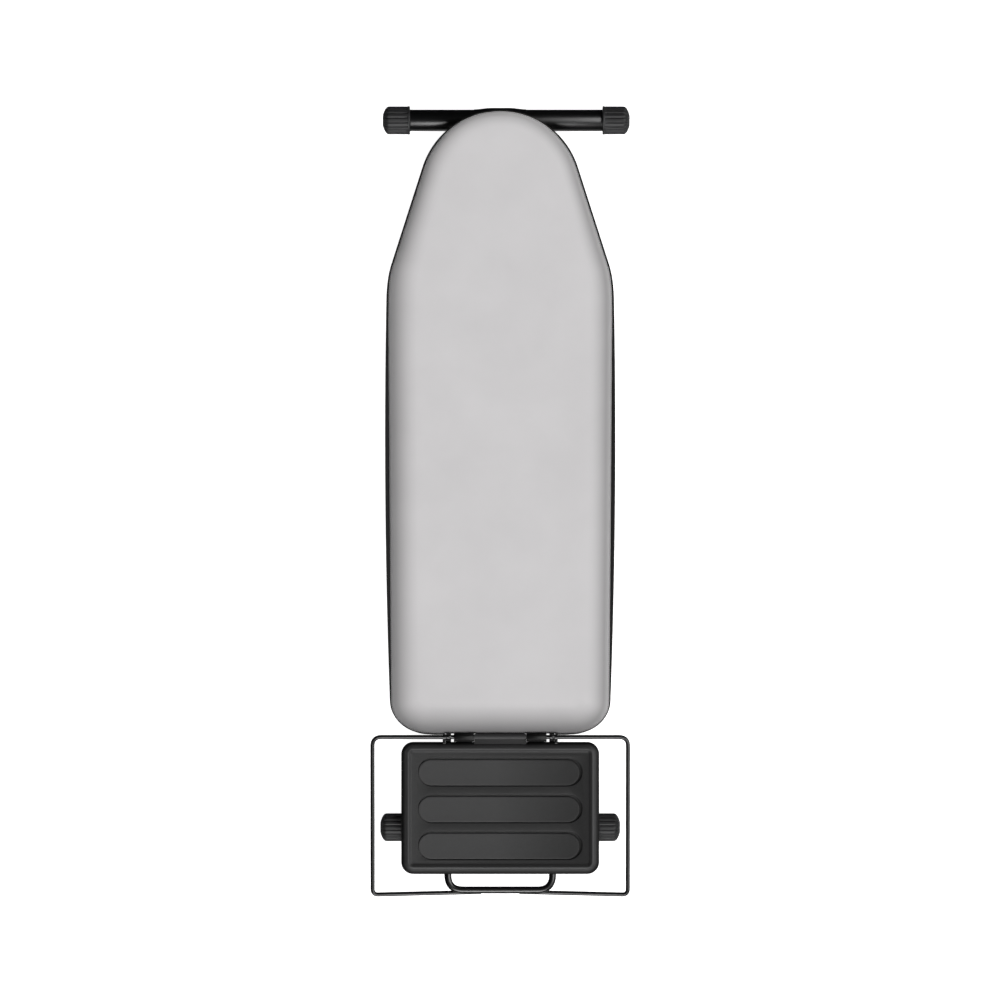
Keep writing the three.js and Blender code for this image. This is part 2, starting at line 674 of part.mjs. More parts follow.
function roundedRectangle(halfX, halfY, radius, centreY) {
  const shape = new THREE.Shape();
  shape.absarc(halfX - radius, centreY + halfY - radius, radius, 0, Math.PI / 2, false);
  shape.absarc(-halfX + radius, centreY + halfY - radius, radius, Math.PI / 2, Math.PI, false);
  shape.absarc(-halfX + radius, centreY - halfY + radius, radius, Math.PI, 1.5 * Math.PI, false);
  shape.absarc(halfX - radius, centreY - halfY + radius, radius, 1.5 * Math.PI, 2 * Math.PI, false);
  const points = shape.getPoints(4);
  return points.filter((p, i) => p.distanceTo(points[(i + 1) % points.length]) > 1e-3);
}

function padOutline(y, shrink) {
  return roundedRectangle(PAD.half - shrink, PAD.radius - shrink, PAD.radius - shrink - 0.01, y);
}

function tray() {
  const edge = roundedRectangle(TRAY.halfX, TRAY.halfY, TRAY.corner, TRAY.y);
  const at = (distance, z) => ({ outline: inset(edge, distance), z });
  const shell = loft([
    at(21, TRAY.floor),
    at(17, TRAY.rim - 0.8),
    at(14, TRAY.rim),
    at(11, TRAY.rim - 0.6),
    at(2, TRAY.bottom + 7),
    at(0, TRAY.bottom + 4),
    at(0, TRAY.bottom),
    at(3, TRAY.bottom),
    at(3, TRAY.bottom + 3),
    at(18, TRAY.floor - 4),
  ]);
  const lipY = [TRAY.y + TRAY.halfY - 16, TRAY.y + TRAY.halfY + 5.2];
  const lip = box([-48, 48], lipY, [TRAY.bottom + 6, TRAY.rim - 2]);
  const pads = [-1, 0, 1].map((i) => PAD.y - i * PAD.pitch);
  const well = prism(inset(edge, 20), [TRAY.floor - 5, TRAY.rim + 1]);
  add("rest_tray", cut(join(shell, lip), well), looks.trayPlastic);
  const recesses = pads.map((y) => prism(padOutline(y, 0), [PAD.bottom - GAP, TRAY.rim]));
  const floor = prism(inset(edge, 20 + GAP), [TRAY.floor - 4, TRAY.floor]);
  add("rest_tray_floor", cut(floor, ...recesses), looks.trayPlastic);
  ["front", "middle", "rear"].forEach((place, i) => {
    const pad = prism(padOutline(pads[i], 1), [PAD.bottom, PAD.top]);
    add(`tray_pad_${place}`, pad, looks.padRubber);
  });
}

function restFrame() {
  const v = (x, y, z) => new THREE.Vector3(x, y, z);
  const arms = bent([
    { at: v(-ARM_X, -500 - GAP, ARM_Z) },
    { at: v(-ARM_X, ARM_REAR_Y, ARM_Z), radius: 30 },
    { at: v(ARM_X, ARM_REAR_Y, ARM_Z), radius: 30 },
    { at: v(ARM_X, -500 - GAP, ARM_Z) },
  ]);
  add("rest_support_tube", bentBar(arms, ARM_RADIUS, 12), looks.blackSteel);

  const { y, z } = REST_AXIS;
  const endY = ARM_REAR_Y - 5.6;
  const rail = bent([
    { at: v(-38, endY, RAIL_REAR_Z) },
    { at: v(-RAIL_HALF, RAIL_REAR_Y, RAIL_REAR_Z), radius: 11 },
    { at: v(-RAIL_HALF, y, z), radius: 18 },
    { at: v(RAIL_HALF, y, z), radius: 18 },
    { at: v(RAIL_HALF, RAIL_REAR_Y, RAIL_REAR_Z), radius: 11 },
    { at: v(38, endY, RAIL_REAR_Z) },
  ]);
  add("garment_rail", bentBar(rail, WIRE_RADIUS, 10), looks.blackSteel);
}

boardTop();
crossRails();
heightChannel();
rearPivot();
foot("front", FRONT_FOOT_X, FRONT_FOOT_HALF, FRONT_FOOT_Y);
foot("rear", 0, REAR_FOOT_HALF, REAR_FOOT_Y);
frontLeg();
rearLeg();
heightLever();
transportLock();
hingeSaddles();
restKnuckles();
tray();
restFrame();

export default ironingBoard;
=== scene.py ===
import json
import math

import bmesh
import bpy
import numpy as np
from bpy.props import FloatProperty, FloatVectorProperty, IntProperty, PointerProperty
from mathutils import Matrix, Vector, noise
from mathutils.geometry import tessellate_polygon


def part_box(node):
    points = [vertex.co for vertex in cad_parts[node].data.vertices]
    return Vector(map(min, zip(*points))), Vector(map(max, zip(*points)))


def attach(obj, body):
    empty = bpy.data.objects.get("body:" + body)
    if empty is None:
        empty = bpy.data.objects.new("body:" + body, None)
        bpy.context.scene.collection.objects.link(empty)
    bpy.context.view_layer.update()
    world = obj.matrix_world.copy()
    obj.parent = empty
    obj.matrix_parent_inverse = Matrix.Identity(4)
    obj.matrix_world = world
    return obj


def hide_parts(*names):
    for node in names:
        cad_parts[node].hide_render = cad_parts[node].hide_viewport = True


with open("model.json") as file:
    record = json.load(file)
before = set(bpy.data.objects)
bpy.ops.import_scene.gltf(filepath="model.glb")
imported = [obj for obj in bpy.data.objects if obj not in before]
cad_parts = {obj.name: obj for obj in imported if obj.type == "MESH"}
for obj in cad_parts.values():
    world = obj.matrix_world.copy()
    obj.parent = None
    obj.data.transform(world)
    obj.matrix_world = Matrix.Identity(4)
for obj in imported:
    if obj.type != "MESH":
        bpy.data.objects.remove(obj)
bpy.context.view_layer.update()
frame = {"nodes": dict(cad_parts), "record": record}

bl_info = {
    "name": "Folding Ironing Board",
    "version": (1, 0, 0),
    "blender": (4, 5, 0),
    "location": "3D View > Sidebar > Ironing Board",
    "description": "Dresses the frame of a folding ironing board in cloth, paint, plastic and rubber",
    "category": "Add Mesh",
}

MM = 0.001
SIDES = (("left", -1), ("right", 1))
SMOOTH_ANGLE = 40.0  # edges sharper than this stay crisp
RAIL_RADIUS = 4.2 * MM
NOSE_RADIUS = 0.162

BAND_LOW, BAND_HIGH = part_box("cover_band")
COVER_LOW, COVER_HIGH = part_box("grey_cover")
FOAM_LOW, FOAM_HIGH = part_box("foam_pad")
RIM_LOW, RIM_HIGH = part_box("rim_frame")
NOSE_Y, TAIL_Y = BAND_HIGH.y, BAND_LOW.y
TOP_Z = COVER_HIGH.z


# ---- Settings ----
def length(name, description, default):
    return FloatProperty(name=name, description=description, default=default, unit="LENGTH", precision=4)


def share(name, description, default):
    return FloatProperty(name=name, description=description, default=default, subtype="FACTOR")


def strength(name, description, default):
    return FloatProperty(name=name, description=description, default=default)


def colour(name, description, default):
    return FloatVectorProperty(name=name, description=description, default=default, subtype="COLOR", size=3)


class CoverSettings(bpy.types.PropertyGroup):
    """Cloth, hem and foam of the ironing cover."""

    cotton: colour("Cotton", "Colour of the grey cotton", (0.772, 0.757, 0.764))
    band: colour("Band", "Colour of the elastic band", (0.002, 0.002, 0.0023))
    crown: length("Crown width", "How far in from its seam the cover rises", 48 * MM)
    cloth: length("Cloth thickness", "Thickness of the cotton", 1.0 * MM)
    gather: length("Gather pitch", "Distance between the gathers of the hem", 15 * MM)
    gather_depth: length("Gather depth", "How deep the gathers are at the hem", 1.1 * MM)
    stitch: length("Stitch length", "Length of one stitch of the seam", 4 * MM)


class BoardSettings(bpy.types.PropertyGroup):
    """Steel net and rim under the cover."""

    diamond_long: length("Diamond length", "Length of one opening of the net", 32 * MM)
    diamond_wide: length("Diamond width", "Width of one opening of the net", 13 * MM)
    strand: share("Strand share", "Share of a diamond that its strands take", 0.24)
    rivet: length("Rivet radius", "Radius of a rivet's head", 3.6 * MM)


class SteelSettings(bpy.types.PropertyGroup):
    """Painted and plated steel."""

    paint: colour("Paint", "Colour of the powder coat", (0.0015, 0.0015, 0.0018))
    gloss: share("Paint roughness", "Roughness of the powder coat", 0.3)
    zinc: colour("Zinc", "Colour of the zinc plating", (0.56, 0.57, 0.58))
    edge: length("Edge radius", "Radius of the edges of pressed steel", 0.5 * MM)


class FootSettings(bpy.types.PropertyGroup):
    """Ribbed caps and rubber soles of the feet."""

    plastic: colour("Cap plastic", "Colour of the caps", (0.024, 0.024, 0.025))
    rubber: colour("Sole rubber", "Colour of the soles", (0.012, 0.012, 0.012))
    flutes: IntProperty(name="Flutes", description="Number of grooves round a cap", default=18)
    flute_depth: length("Flute depth", "Depth of a groove in a cap", 1.9 * MM)
    chamfer: length("End chamfer", "Length of the cap's sloping end", 14 * MM)


class RestSettings(bpy.types.PropertyGroup):
    """Steam station rest."""

    plastic: colour("Tray plastic", "Colour of the tray", (0.04, 0.04, 0.0405))
    rubber: colour("Pad rubber", "Colour of the pads", (0.048, 0.048, 0.0485))
    shift: length("Pad shift", "How far the pads sit towards one corner of their recesses", 2.6 * MM)


class StudioSettings(bpy.types.PropertyGroup):
    """Floor, lights and camera."""

    floor: colour("Floor", "Colour of the floor", (0.95, 0.95, 0.95))
    distance: length("Camera distance", "Camera height above the cover", 25.0)
    width: length("Frame width", "Width of the view at the cover", 1.984)
    key: strength("Key light", "Strength of the soft light from the tail", 1.75)
    side: strength("Side light", "Strength of the soft light from the right", 1.65)
    bounce: strength("Floor bounce", "Strength of the light from below", 0.6)
    sky: strength("Sky", "Strength of the light all round", 0.012)


# ---- Finishes ----
def surface(name, colour, **sockets):
    """A new material. The sockets are the shader's inputs that are the same all over."""
    material = bpy.data.materials.new(name)
    material.use_nodes = True
    material.diffuse_color = (*colour, 1)
    shader = material.node_tree.nodes["Principled BSDF"]
    shader.inputs["Base Color"].default_value = (*colour, 1)
    for socket, value in sockets.items():
        shader.inputs[socket.replace("_", " ")].default_value = value
    return material, material.node_tree, shader


def node(tree, kind, inputs=(), **settings):
    """A node of that kind. Inputs maps a socket to a value, or to a socket that feeds it."""
    made = tree.nodes.new("ShaderNode" + kind)
    for name, value in settings.items():
        setattr(made, name, value)
    for socket, value in dict(inputs).items():
        if isinstance(value, bpy.types.NodeSocket):
            tree.links.new(value, made.inputs[socket])
        else:
            made.inputs[socket].default_value = value
    return made


def place(tree):
    """Where a point of the piece is, in metres."""
    return node(tree, "TexCoord").outputs["Object"]


def blotches(tree, scale, detail=3.0):
    """Soft noise from 0 to 1."""
    inputs = {"Vector": place(tree), "Scale": scale, "Detail": detail}
    return node(tree, "TexNoise", inputs).outputs["Fac"]


def tinted(colour, by):
    return tuple(min(1.0, c * by) for c in colour)


def shades(tree, fac, colour, dark, light):
    """The colour, darker or lighter by two factors: the first where fac is under 0.3, the second over 0.7."""
    ramp = node(tree, "ValToRGB", {"Fac": fac})
    for stop, position, by in zip(ramp.color_ramp.elements, (0.3, 0.7), (dark, light)):
        stop.position = position
        stop.color = (*tinted(colour, by), 1)
    return ramp.outputs["Color"]


def maths(tree, operation, *values):
    return node(tree, "Math", enumerate(values), operation=operation).outputs[0]


def ranged(tree, value, start, end, low=0.0, high=1.0):
    """Runs from low to high as value runs from start to end."""
    return node(tree, "MapRange", {0: value, 1: start, 2: end, 3: low, 4: high}).outputs[0]


def blend(tree, factor, first, second, blend_type="MIX"):
    """One colour into another, by a factor from 0 to 1."""
    inputs = {"Factor": factor, "A": first, "B": second}
    return node(tree, "Mix", inputs, data_type="RGBA", blend_type=blend_type).outputs["Result"]


def relief(tree, shader, height, distance):
    """Bump from a height of 0 to 1, whose full range is that distance."""
    bump = node(tree, "Bump", {"Height": height, "Distance": distance})
    tree.links.new(bump.outputs["Normal"], shader.inputs["Normal"])


def weave(tree, pitch):
    """Height of a plain weave: warp and weft rise over each other in turn."""
    split = node(tree, "SeparateXYZ", {"Vector": place(tree)}).outputs
    waves = [maths(tree, "SINE", maths(tree, "MULTIPLY", split[axis], math.pi / pitch)) for axis in "XY"]
    return maths(tree, "MULTIPLY_ADD", maths(tree, "MULTIPLY", *waves), 0.5, 0.5)


def cotton_finish(settings):
    """Light grey cotton: plain weave, slightly uneven colour, and painted shade along its rolled edge."""
    material, tree, shader = surface("cotton", settings.cotton, Roughness=0.85, Sheen_Weight=0.12)
    uneven = shades(tree, blotches(tree, 9, 5), settings.cotton, 0.975, 1.025)
    # The edge attribute is painted shade, multiplied into the colour where the cloth rolls over at its edges.
    edge = node(tree, "Attribute", attribute_name="painted_edge_shade").outputs["Color"]
    tree.links.new(blend(tree, 1.0, uneven, edge, "MULTIPLY"), shader.inputs["Base Color"])
    relief(tree, shader, weave(tree, 1.1 * MM), 0.12 * MM)
    return material


def band_finish(settings):
    """Black elastic band with a fine rib."""
    material, tree, shader = surface("elastic_band", settings.band, Roughness=0.8, Sheen_Weight=0.05)
    relief(tree, shader, weave(tree, 1.6 * MM), 0.2 * MM)
    return material


def thread_finish(settings):
    """Black sewing thread."""
    material, tree, shader = surface("thread", tinted(settings.band, 2.2), Roughness=0.6)
    relief(tree, shader, blotches(tree, 2500), 0.1 * MM)
    return material


def foam_finish():
    """Cream open-cell foam."""
    cream = (0.75, 0.72, 0.64)
    material, tree, shader = surface("foam", cream, Roughness=0.95)
    cells = node(tree, "TexVoronoi", {"Vector": place(tree), "Scale": 700}).outputs["Distance"]
    tree.links.new(shades(tree, cells, cream, 0.7, 1), shader.inputs["Base Color"])
    relief(tree, shader, cells, 0.6 * MM)
    return material


def paint_finish(settings):
    """Gloss black powder coat with a faint orange peel."""
    material, tree, shader = surface("black_powder_coat", settings.paint, Roughness=settings.gloss, IOR=1.75)
    wear = ranged(tree, blotches(tree, 14, 6), 0.0, 1.0, settings.gloss - 0.05, settings.gloss + 0.07)
    tree.links.new(wear, shader.inputs["Roughness"])
    relief(tree, shader, blotches(tree, 420, 2), 0.05 * MM)
    return material


def zinc_finish(settings):
    """Bright zinc with cloudy spangles."""
    material, tree, shader = surface("zinc_plate", settings.zinc, Metallic=1.0, Roughness=0.34)
    spangle = node(tree, "TexVoronoi", {"Vector": place(tree), "Scale": 160}).outputs["Color"]
    tree.links.new(maths(tree, "MULTIPLY_ADD", spangle, 0.14, 0.27), shader.inputs["Roughness"])
    cloud = shades(tree, blotches(tree, 30), settings.zinc, 0.86, 1.08)
    tree.links.new(cloud, shader.inputs["Base Color"])
    return material


def net_finish():
    """Dark grey dip-painted steel net."""
    grey = (0.045, 0.046, 0.048)
    material, tree, shader = surface("net_paint", grey, Roughness=0.45, Metallic=0.2)
    tree.links.new(shades(tree, blotches(tree, 60), grey, 0.8, 1.25), shader.inputs["Base Color"])
    relief(tree, shader, blotches(tree, 900), 0.06 * MM)
    return material


def moulded_finish(name, colour, roughness, grain, depth):
    """Moulded plastic or rubber with an even spark-eroded grain and slightly paler, rubbed patches."""
    material, tree, shader = surface(name, colour, Roughness=roughness)
    tree.links.new(shades(tree, blotches(tree, 22, 5), colour, 0.9, 1.1), shader.inputs["Base Color"])
    relief(tree, shader, blotches(tree, 1 / grain, 2), depth)
    return material


def tray_finish(name, colour, roughness, painted_light_tones, floor_z, painted_shadow_z):
    """Fine-grained plastic with painted light: under floor_z it is painted darker by two factors (right,
    left), a painted falloff of light across it, and under painted_shadow_z it is painted near black as painted
    shadow.
    """
    material, tree, shader = surface(name, colour, Roughness=roughness)
    left, right = -0.12, 0.25
    split = node(tree, "SeparateXYZ", {"Vector": place(tree)}).outputs
    # Painted falloff of light: paler at the left, darker at the right.
    painted_tone = shades(tree, ranged(tree, split["X"], left, right, 1.0, 0.0), colour, *painted_light_tones)
    # Above floor_z the plain colour stays, so the rim is painted lit against a floor in painted shade.
    above = ranged(tree, split["Z"], floor_z, floor_z + 0.5 * MM)
    painted_tone = blend(tree, above, painted_tone, (*colour, 1))
    # Painted shadow: near black down in the recesses and round the pads.
    above = ranged(tree, split["Z"], painted_shadow_z - 1 * MM, painted_shadow_z)
    painted_tone = blend(tree, above, (*tinted(colour, 0.1), 1), painted_tone)
    tree.links.new(painted_tone, shader.inputs["Base Color"])
    relief(tree, shader, blotches(tree, 1400, 2), 0.08 * MM)
    return material


# ---- Shapes ----
def bezier(controls, steps):
    t = np.linspace(0, 1, steps + 1)[:, None]
    n = len(controls) - 1
    return sum(math.comb(n, k) * (1 - t) ** (n - k) * t**k * np.array(p) for k, p in enumerate(controls))


def board_outline():
    """The outline, anticlockwise: a round nose, a straight taper, bowed sides and round tail corners."""
    taper = math.radians(17.8)
    taper_end, side_start, side_end = (0.2163, 0.470), (0.226, 0.400), (0.219, -0.397)
    turn = np.linspace(math.pi / 2, taper, 40)
    nose = np.column_stack([NOSE_RADIUS * np.cos(turn), NOSE_Y - NOSE_RADIUS + NOSE_RADIUS * np.sin(turn)])
    curves = (
        ([tuple(nose[-1]), taper_end], 12),
        ([taper_end, (0.2252, 0.4422), side_start], 8),
        ([side_start, (0.2335, 0), side_end], 50),
        ([side_end, (0.2175, -0.432), (0.186, -0.4605), (0.146, TAIL_Y)], 20),
    )
    right = np.vstack([nose, *(bezier(*curve)[1:] for curve in curves), [(0, TAIL_Y)]])
    left = right[1:-1][::-1] * (-1, 1)
    return np.roll(np.vstack([right, left])[::-1], 1, axis=0)


def evenly(points, spacing):
    """Points spaced evenly round a closed line, the inward direction at each, and the distance run."""
    closed = np.vstack([points, points[:1]])
    run = np.concatenate([[0], np.cumsum(np.hypot(*np.diff(closed, axis=0).T))])
    count = 2 * round(run[-1] / spacing / 2)
    at = np.arange(count) * run[-1] / count
    line = np.column_stack([np.interp(at, run, closed[:, k]) for k in (0, 1)])
    along = np.roll(line, -1, 0) - np.roll(line, 1, 0)
    along /= np.linalg.norm(along, axis=1)[:, None]
    return line, np.column_stack([-along[:, 1], along[:, 0]]), at


def row(line, inward, depth, z):
    """The line moved inwards by depth, at height z. Both may be one number or one for each point."""
    flat = line + inward * np.reshape(depth, (-1, 1))
    return np.column_stack([flat, np.broadcast_to(z, len(line))])


def level(flat, z):
    """A flat line of points, at height z."""
    return np.column_stack([flat, np.full(len(flat), z)])


def loft(rows, wrap=False, caps=(False, False)):
    """The surface through closed rows of points. wrap joins the last to the first; caps close the ends."""
    count = len(rows[0])
    faces = []
    for r in range(len(rows) if wrap else len(rows) - 1):
        a, b = r * count, (r + 1) % len(rows) * count
        faces += [(a + i, a + (i + 1) % count, b + (i + 1) % count, b + i) for i in range(count)]
    last = (len(rows) - 1) * count
    if caps[0]:
        faces.append(tuple(range(count))[::-1])
    if caps[1]:
        faces.append(tuple(range(last, last + count)))
    return np.vstack(rows), faces


def capped(rows):
    return loft(rows, caps=(True, True))


def rings(route, radii, sides):
    """Circles square to a route, without twist."""
    route = np.array(route, float)
    ahead = np.diff(route, axis=0)
    ahead /= np.linalg.norm(ahead, axis=1)[:, None]
    along = np.vstack([ahead[:1], ahead[1:] + ahead[:-1], ahead[-1:]])
    along /= np.linalg.norm(along, axis=1)[:, None]
    across = np.cross(along[0], (0, 0, 1) if abs(along[0][2]) < 0.9 else (1, 0, 0))
    turn = np.linspace(0, 2 * math.pi, sides, endpoint=False)[:, None]
    rows = []
    for point, way, radius in zip(route, along, np.broadcast_to(radii, len(route))):
        across = across - way * across.dot(way)
        across /= np.linalg.norm(across)
        up = np.cross(way, across)
        rows.append(point + radius * (np.cos(turn) * across + np.sin(turn) * up))
    return rows


def bar(route, radius, sides=24):
    """A solid round bar along a route, with softened ends."""
    route = [np.array(p, float) for p in route]
    soft = min(0.5 * MM, radius * 0.3)
    first = (route[0] - route[1]) / np.linalg.norm(route[0] - route[1])
    last = (route[-1] - route[-2]) / np.linalg.norm(route[-1] - route[-2])
    points = [route[0], route[0] - first * soft, *route[1:-1], route[-1] - last * soft, route[-1]]
    radii = [radius - soft, *[radius] * (len(points) - 2), radius - soft]
    return capped(rings(points, radii, sides))


def spun(origin, axis, profile, sides=24):
    """A solid turned about an axis from a profile of (distance along, radius)."""
    origin, axis = np.array(origin, float), np.array(axis, float)
    route = [origin + axis * along for along, _ in profile]
    middle = rings([origin, origin + axis], [1, 1], sides)[0] - origin
    rows = [point + middle * radius for point, (_, radius) in zip(route, profile)]
    return capped(rows)


def bent(corners, steps=12):
    """A route of straight runs. Each corner is (point, radius) and is rounded to that radius."""
    points = [np.array(p, float) for p, _ in corners]
    route = [points[0]]
    for i in range(1, len(corners) - 1):
        before, after = points[i - 1] - points[i], points[i + 1] - points[i]
        before, after = before / np.linalg.norm(before), after / np.linalg.norm(after)
        reach = corners[i][1] / math.tan(math.acos(before.dot(after)) / 2)
        route += list(bezier([points[i] + before * reach, points[i], points[i] + after * reach], steps))
    return [*route, points[-1]]


def rounded_rectangle(half_x, half_y, radius, centre, steps=10):
    """Points round a rectangle with round corners, anticlockwise, centred on (x, y)."""
    points = []
    for quarter, (sx, sy) in enumerate(((1, 1), (-1, 1), (-1, -1), (1, -1))):
        for turn in np.linspace(0, math.pi / 2, steps + 1) + quarter * math.pi / 2:
            x = centre[0] + sx * (half_x - radius) + radius * math.cos(turn)
            y = centre[1] + sy * (half_y - radius) + radius * math.sin(turn)
            points.append((x, y))
    return np.array(points)


def block(low, high, radius, segments=3):
    """A box with rounded edges."""
    bm = bmesh.new()
    bmesh.ops.create_cube(bm, size=1)
    low, high = Vector(low), Vector(high)
    for v in bm.verts:
        v.co = Vector(((a + b) / 2 + c * (b - a)) for a, b, c in zip(low, high, v.co))
    bmesh.ops.bevel(bm, geom=bm.edges[:], offset=radius, segments=segments, profile=0.5, affect="EDGES")
    vertices = np.array([v.co for v in bm.verts])
    faces = [tuple(v.index for v in f.verts) for f in bm.faces]
    bm.free()
    return vertices, faces


def soften(mesh):
    """Smooth shading, except over edges sharper than SMOOTH_ANGLE."""
    mesh.polygons.foreach_set("use_smooth", [True] * len(mesh.polygons))
    mesh.set_sharp_from_angle(angle=math.radians(SMOOTH_ANGLE))


def piece(name, shapes, finish, body, shade=None):
    """One named piece from its shapes, riding on a body. shade is painted shade: how pale each point is
    painted, from 0 to 1.
    """
    vertices = np.vstack([v for v, _ in shapes])
    faces, base = [], 0
    for shape_vertices, shape_faces in shapes:
        faces += [tuple(base + i for i in face) for face in shape_faces]
        base += len(shape_vertices)
    mesh = bpy.data.meshes.new(name)
    mesh.from_pydata(vertices.tolist(), [], faces)
    if shade is not None:
        # Painted shade is kept on the points for the material to multiply into its colour.
        layer = mesh.color_attributes.new("painted_edge_shade", "FLOAT_COLOR", "POINT")
        layer.data.foreach_set("color", np.column_stack([shade, shade, shade, np.ones(len(shade))]).ravel())
    bm = bmesh.new()
    bm.from_mesh(mesh)
    bmesh.ops.remove_doubles(bm, verts=bm.verts, dist=0.002 * MM)
    bmesh.ops.recalc_face_normals(bm, faces=bm.faces)
    bm.to_mesh(mesh)
    bm.free()
    soften(mesh)
    mesh.materials.append(finish)
    made = added(name, mesh)
    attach(made, body)
    return made


def added(name, data):
    made = bpy.data.objects.new(name, data)
    bpy.context.scene.collection.objects.link(made)
    return made


def thicken(owner, thickness, offset):
    solid = owner.modifiers.new("gauge", "SOLIDIFY")
    solid.thickness = thickness
    solid.offset = offset


def dress(name, finish, edge):
    """Gives a node of the frame its finish, softened edges and smooth round faces."""
    owner = frame["nodes"][name]
    owner.data.materials.clear()
    owner.data.materials.append(finish)
    soften(owner.data)
    weld = owner.modifiers.new("weld", "WELD")
    weld.merge_threshold = 0.01 * MM
    bevel = owner.modifiers.new("edges", "BEVEL")
    bevel.width = edge
    bevel.segments = 2
    bevel.limit_method = "ANGLE"
    bevel.angle_limit = math.radians(SMOOTH_ANGLE)
    bevel.harden_normals = True


def middle(name):
    low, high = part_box(name)
    return (low + high) / 2


# ---- Cover ----
def seam_depth(y):
    """How far in from the board's edge the cotton ends: further along the bowed sides than at the ends."""
    narrow, wide, centre, reach = 2.2 * MM, 6.2 * MM, 0.02, 0.44
    nose = 1.6 * MM * np.clip((y - 0.36) / 0.12, 0, 1) * np.clip((NOSE_Y - 0.02 - y) / 0.04, 0, 1)
    return narrow + nose + wide * np.clip(1 - ((y - centre) / reach) ** 2, 0, 1)


def crown_height(depth, settings):
    """Height of the cover at a depth in from its seam: a long soft rise with a rolled edge."""
    rise, roll, roll_width = 3.4 * MM, 5.8 * MM, 11 * MM
    long = np.clip(1 - depth / settings.crown, 0, 1)
    short = np.clip(1 - depth / roll_width, 0, 1)
    return TOP_Z - rise * long**2 - roll * short**2.4


def painted_edge_shade(line, inward, depth):
    """Painted shade of the cloth at a depth in from its seam: how pale it is painted. It is painted darker
    where it rolls over, least at the nose.
    """
    across, along = inward[:, 0], inward[:, 1]
    slim = 1 - 0.3 * np.clip((line[:, 1] - 0.42) / 0.2, 0, 1)  # the sides' bands narrow towards the nose
    # Each entry below is one band of painted shade along one side of the cover.
    edges = (  # which way is in, how dark at the seam, how far in it reaches, its falloff, the most it takes
        (across, 0.8, slim * 60 * MM, 1.6, 0.56),
        (-across, 0.8, slim * 44 * MM, 1.7, 0.48),
        (along, 0.83, 61 * MM, 1.35, 0.75),
        (-along, 0.42, 28 * MM, 1.3, 0.27),
    )
    shade = np.ones(len(inward))
    for way, dark, reach, power, most in edges:
        fall = dark * np.maximum(1 - depth / reach, 0) ** power
        shade -= np.clip(way, 0, 1) ** 2 * np.minimum(fall, most)
    return shade


def tail_bulge(line):
    """How far the cloth stands out past the tail edge. It is pressed flat where the hinge fittings sit."""
    across = np.abs(line[:, 0]) / MM
    stops, bulges = (0, 46, 49, 109, 114, 130, 170), (1.0, 1.0, 0, 0, 2.3, 2.3, 0)
    out = np.interp(across, stops, bulges)
    return np.where(line[:, 1] < TAIL_Y + 12 * MM, out * MM, 0)


def cotton_rows(settings, spacing):
    """Closed rows of the cotton, from its seam to the middle line, and each point's painted shade."""
    line, inward, _ = evenly(board_outline(), spacing)
    seam = seam_depth(line[:, 1])
    bulge = tail_bulge(line)
    steps = np.array([0, 0.5, 1.2, 2.2, 3.5, 5, 7, 9, 11.5, 15, 19, 24, 30, 37, 45]) * MM
    bulge_ends, half_width = 14 * MM, 0.17
    rows, painted_shades = [], []
    for d in steps:
        out = bulge * max(1 - d / bulge_ends, 0)
        rows.append(row(line, inward, seam + d - out, crown_height(d, settings)))
        painted_shades.append(painted_edge_shade(line, inward, d))
    along = np.clip(line[:, 1], TAIL_Y + half_width, NOSE_Y - NOSE_RADIUS)
    spine = level(np.column_stack([np.zeros(len(line)), along]), TOP_Z)
    for part in (0.06, 0.12, 0.2, 0.3, 0.44, 0.62, 0.81, 1.0):
        inner = rows[len(steps) - 1] * (1 - part) + spine * part
        depth = steps[-1] + part * half_width
        inner[:, 2] = crown_height(depth, settings)
        rows.append(inner)
        painted_shades.append(painted_edge_shade(line, inward, depth))
    return rows, np.concatenate(painted_shades)


def gathers(settings):
    """The outline in fine steps, as evenly gives it, and the wave of the gathers from -1 to 1."""
    line, inward, run = evenly(board_outline(), settings.gather / 6)
    wobble = np.array([noise.noise(Vector((p[0] * 9, p[1] * 9, 2.0))) for p in line])
    return line, inward, run, np.sin(2 * math.pi * run / settings.gather + 2.5 * wobble)


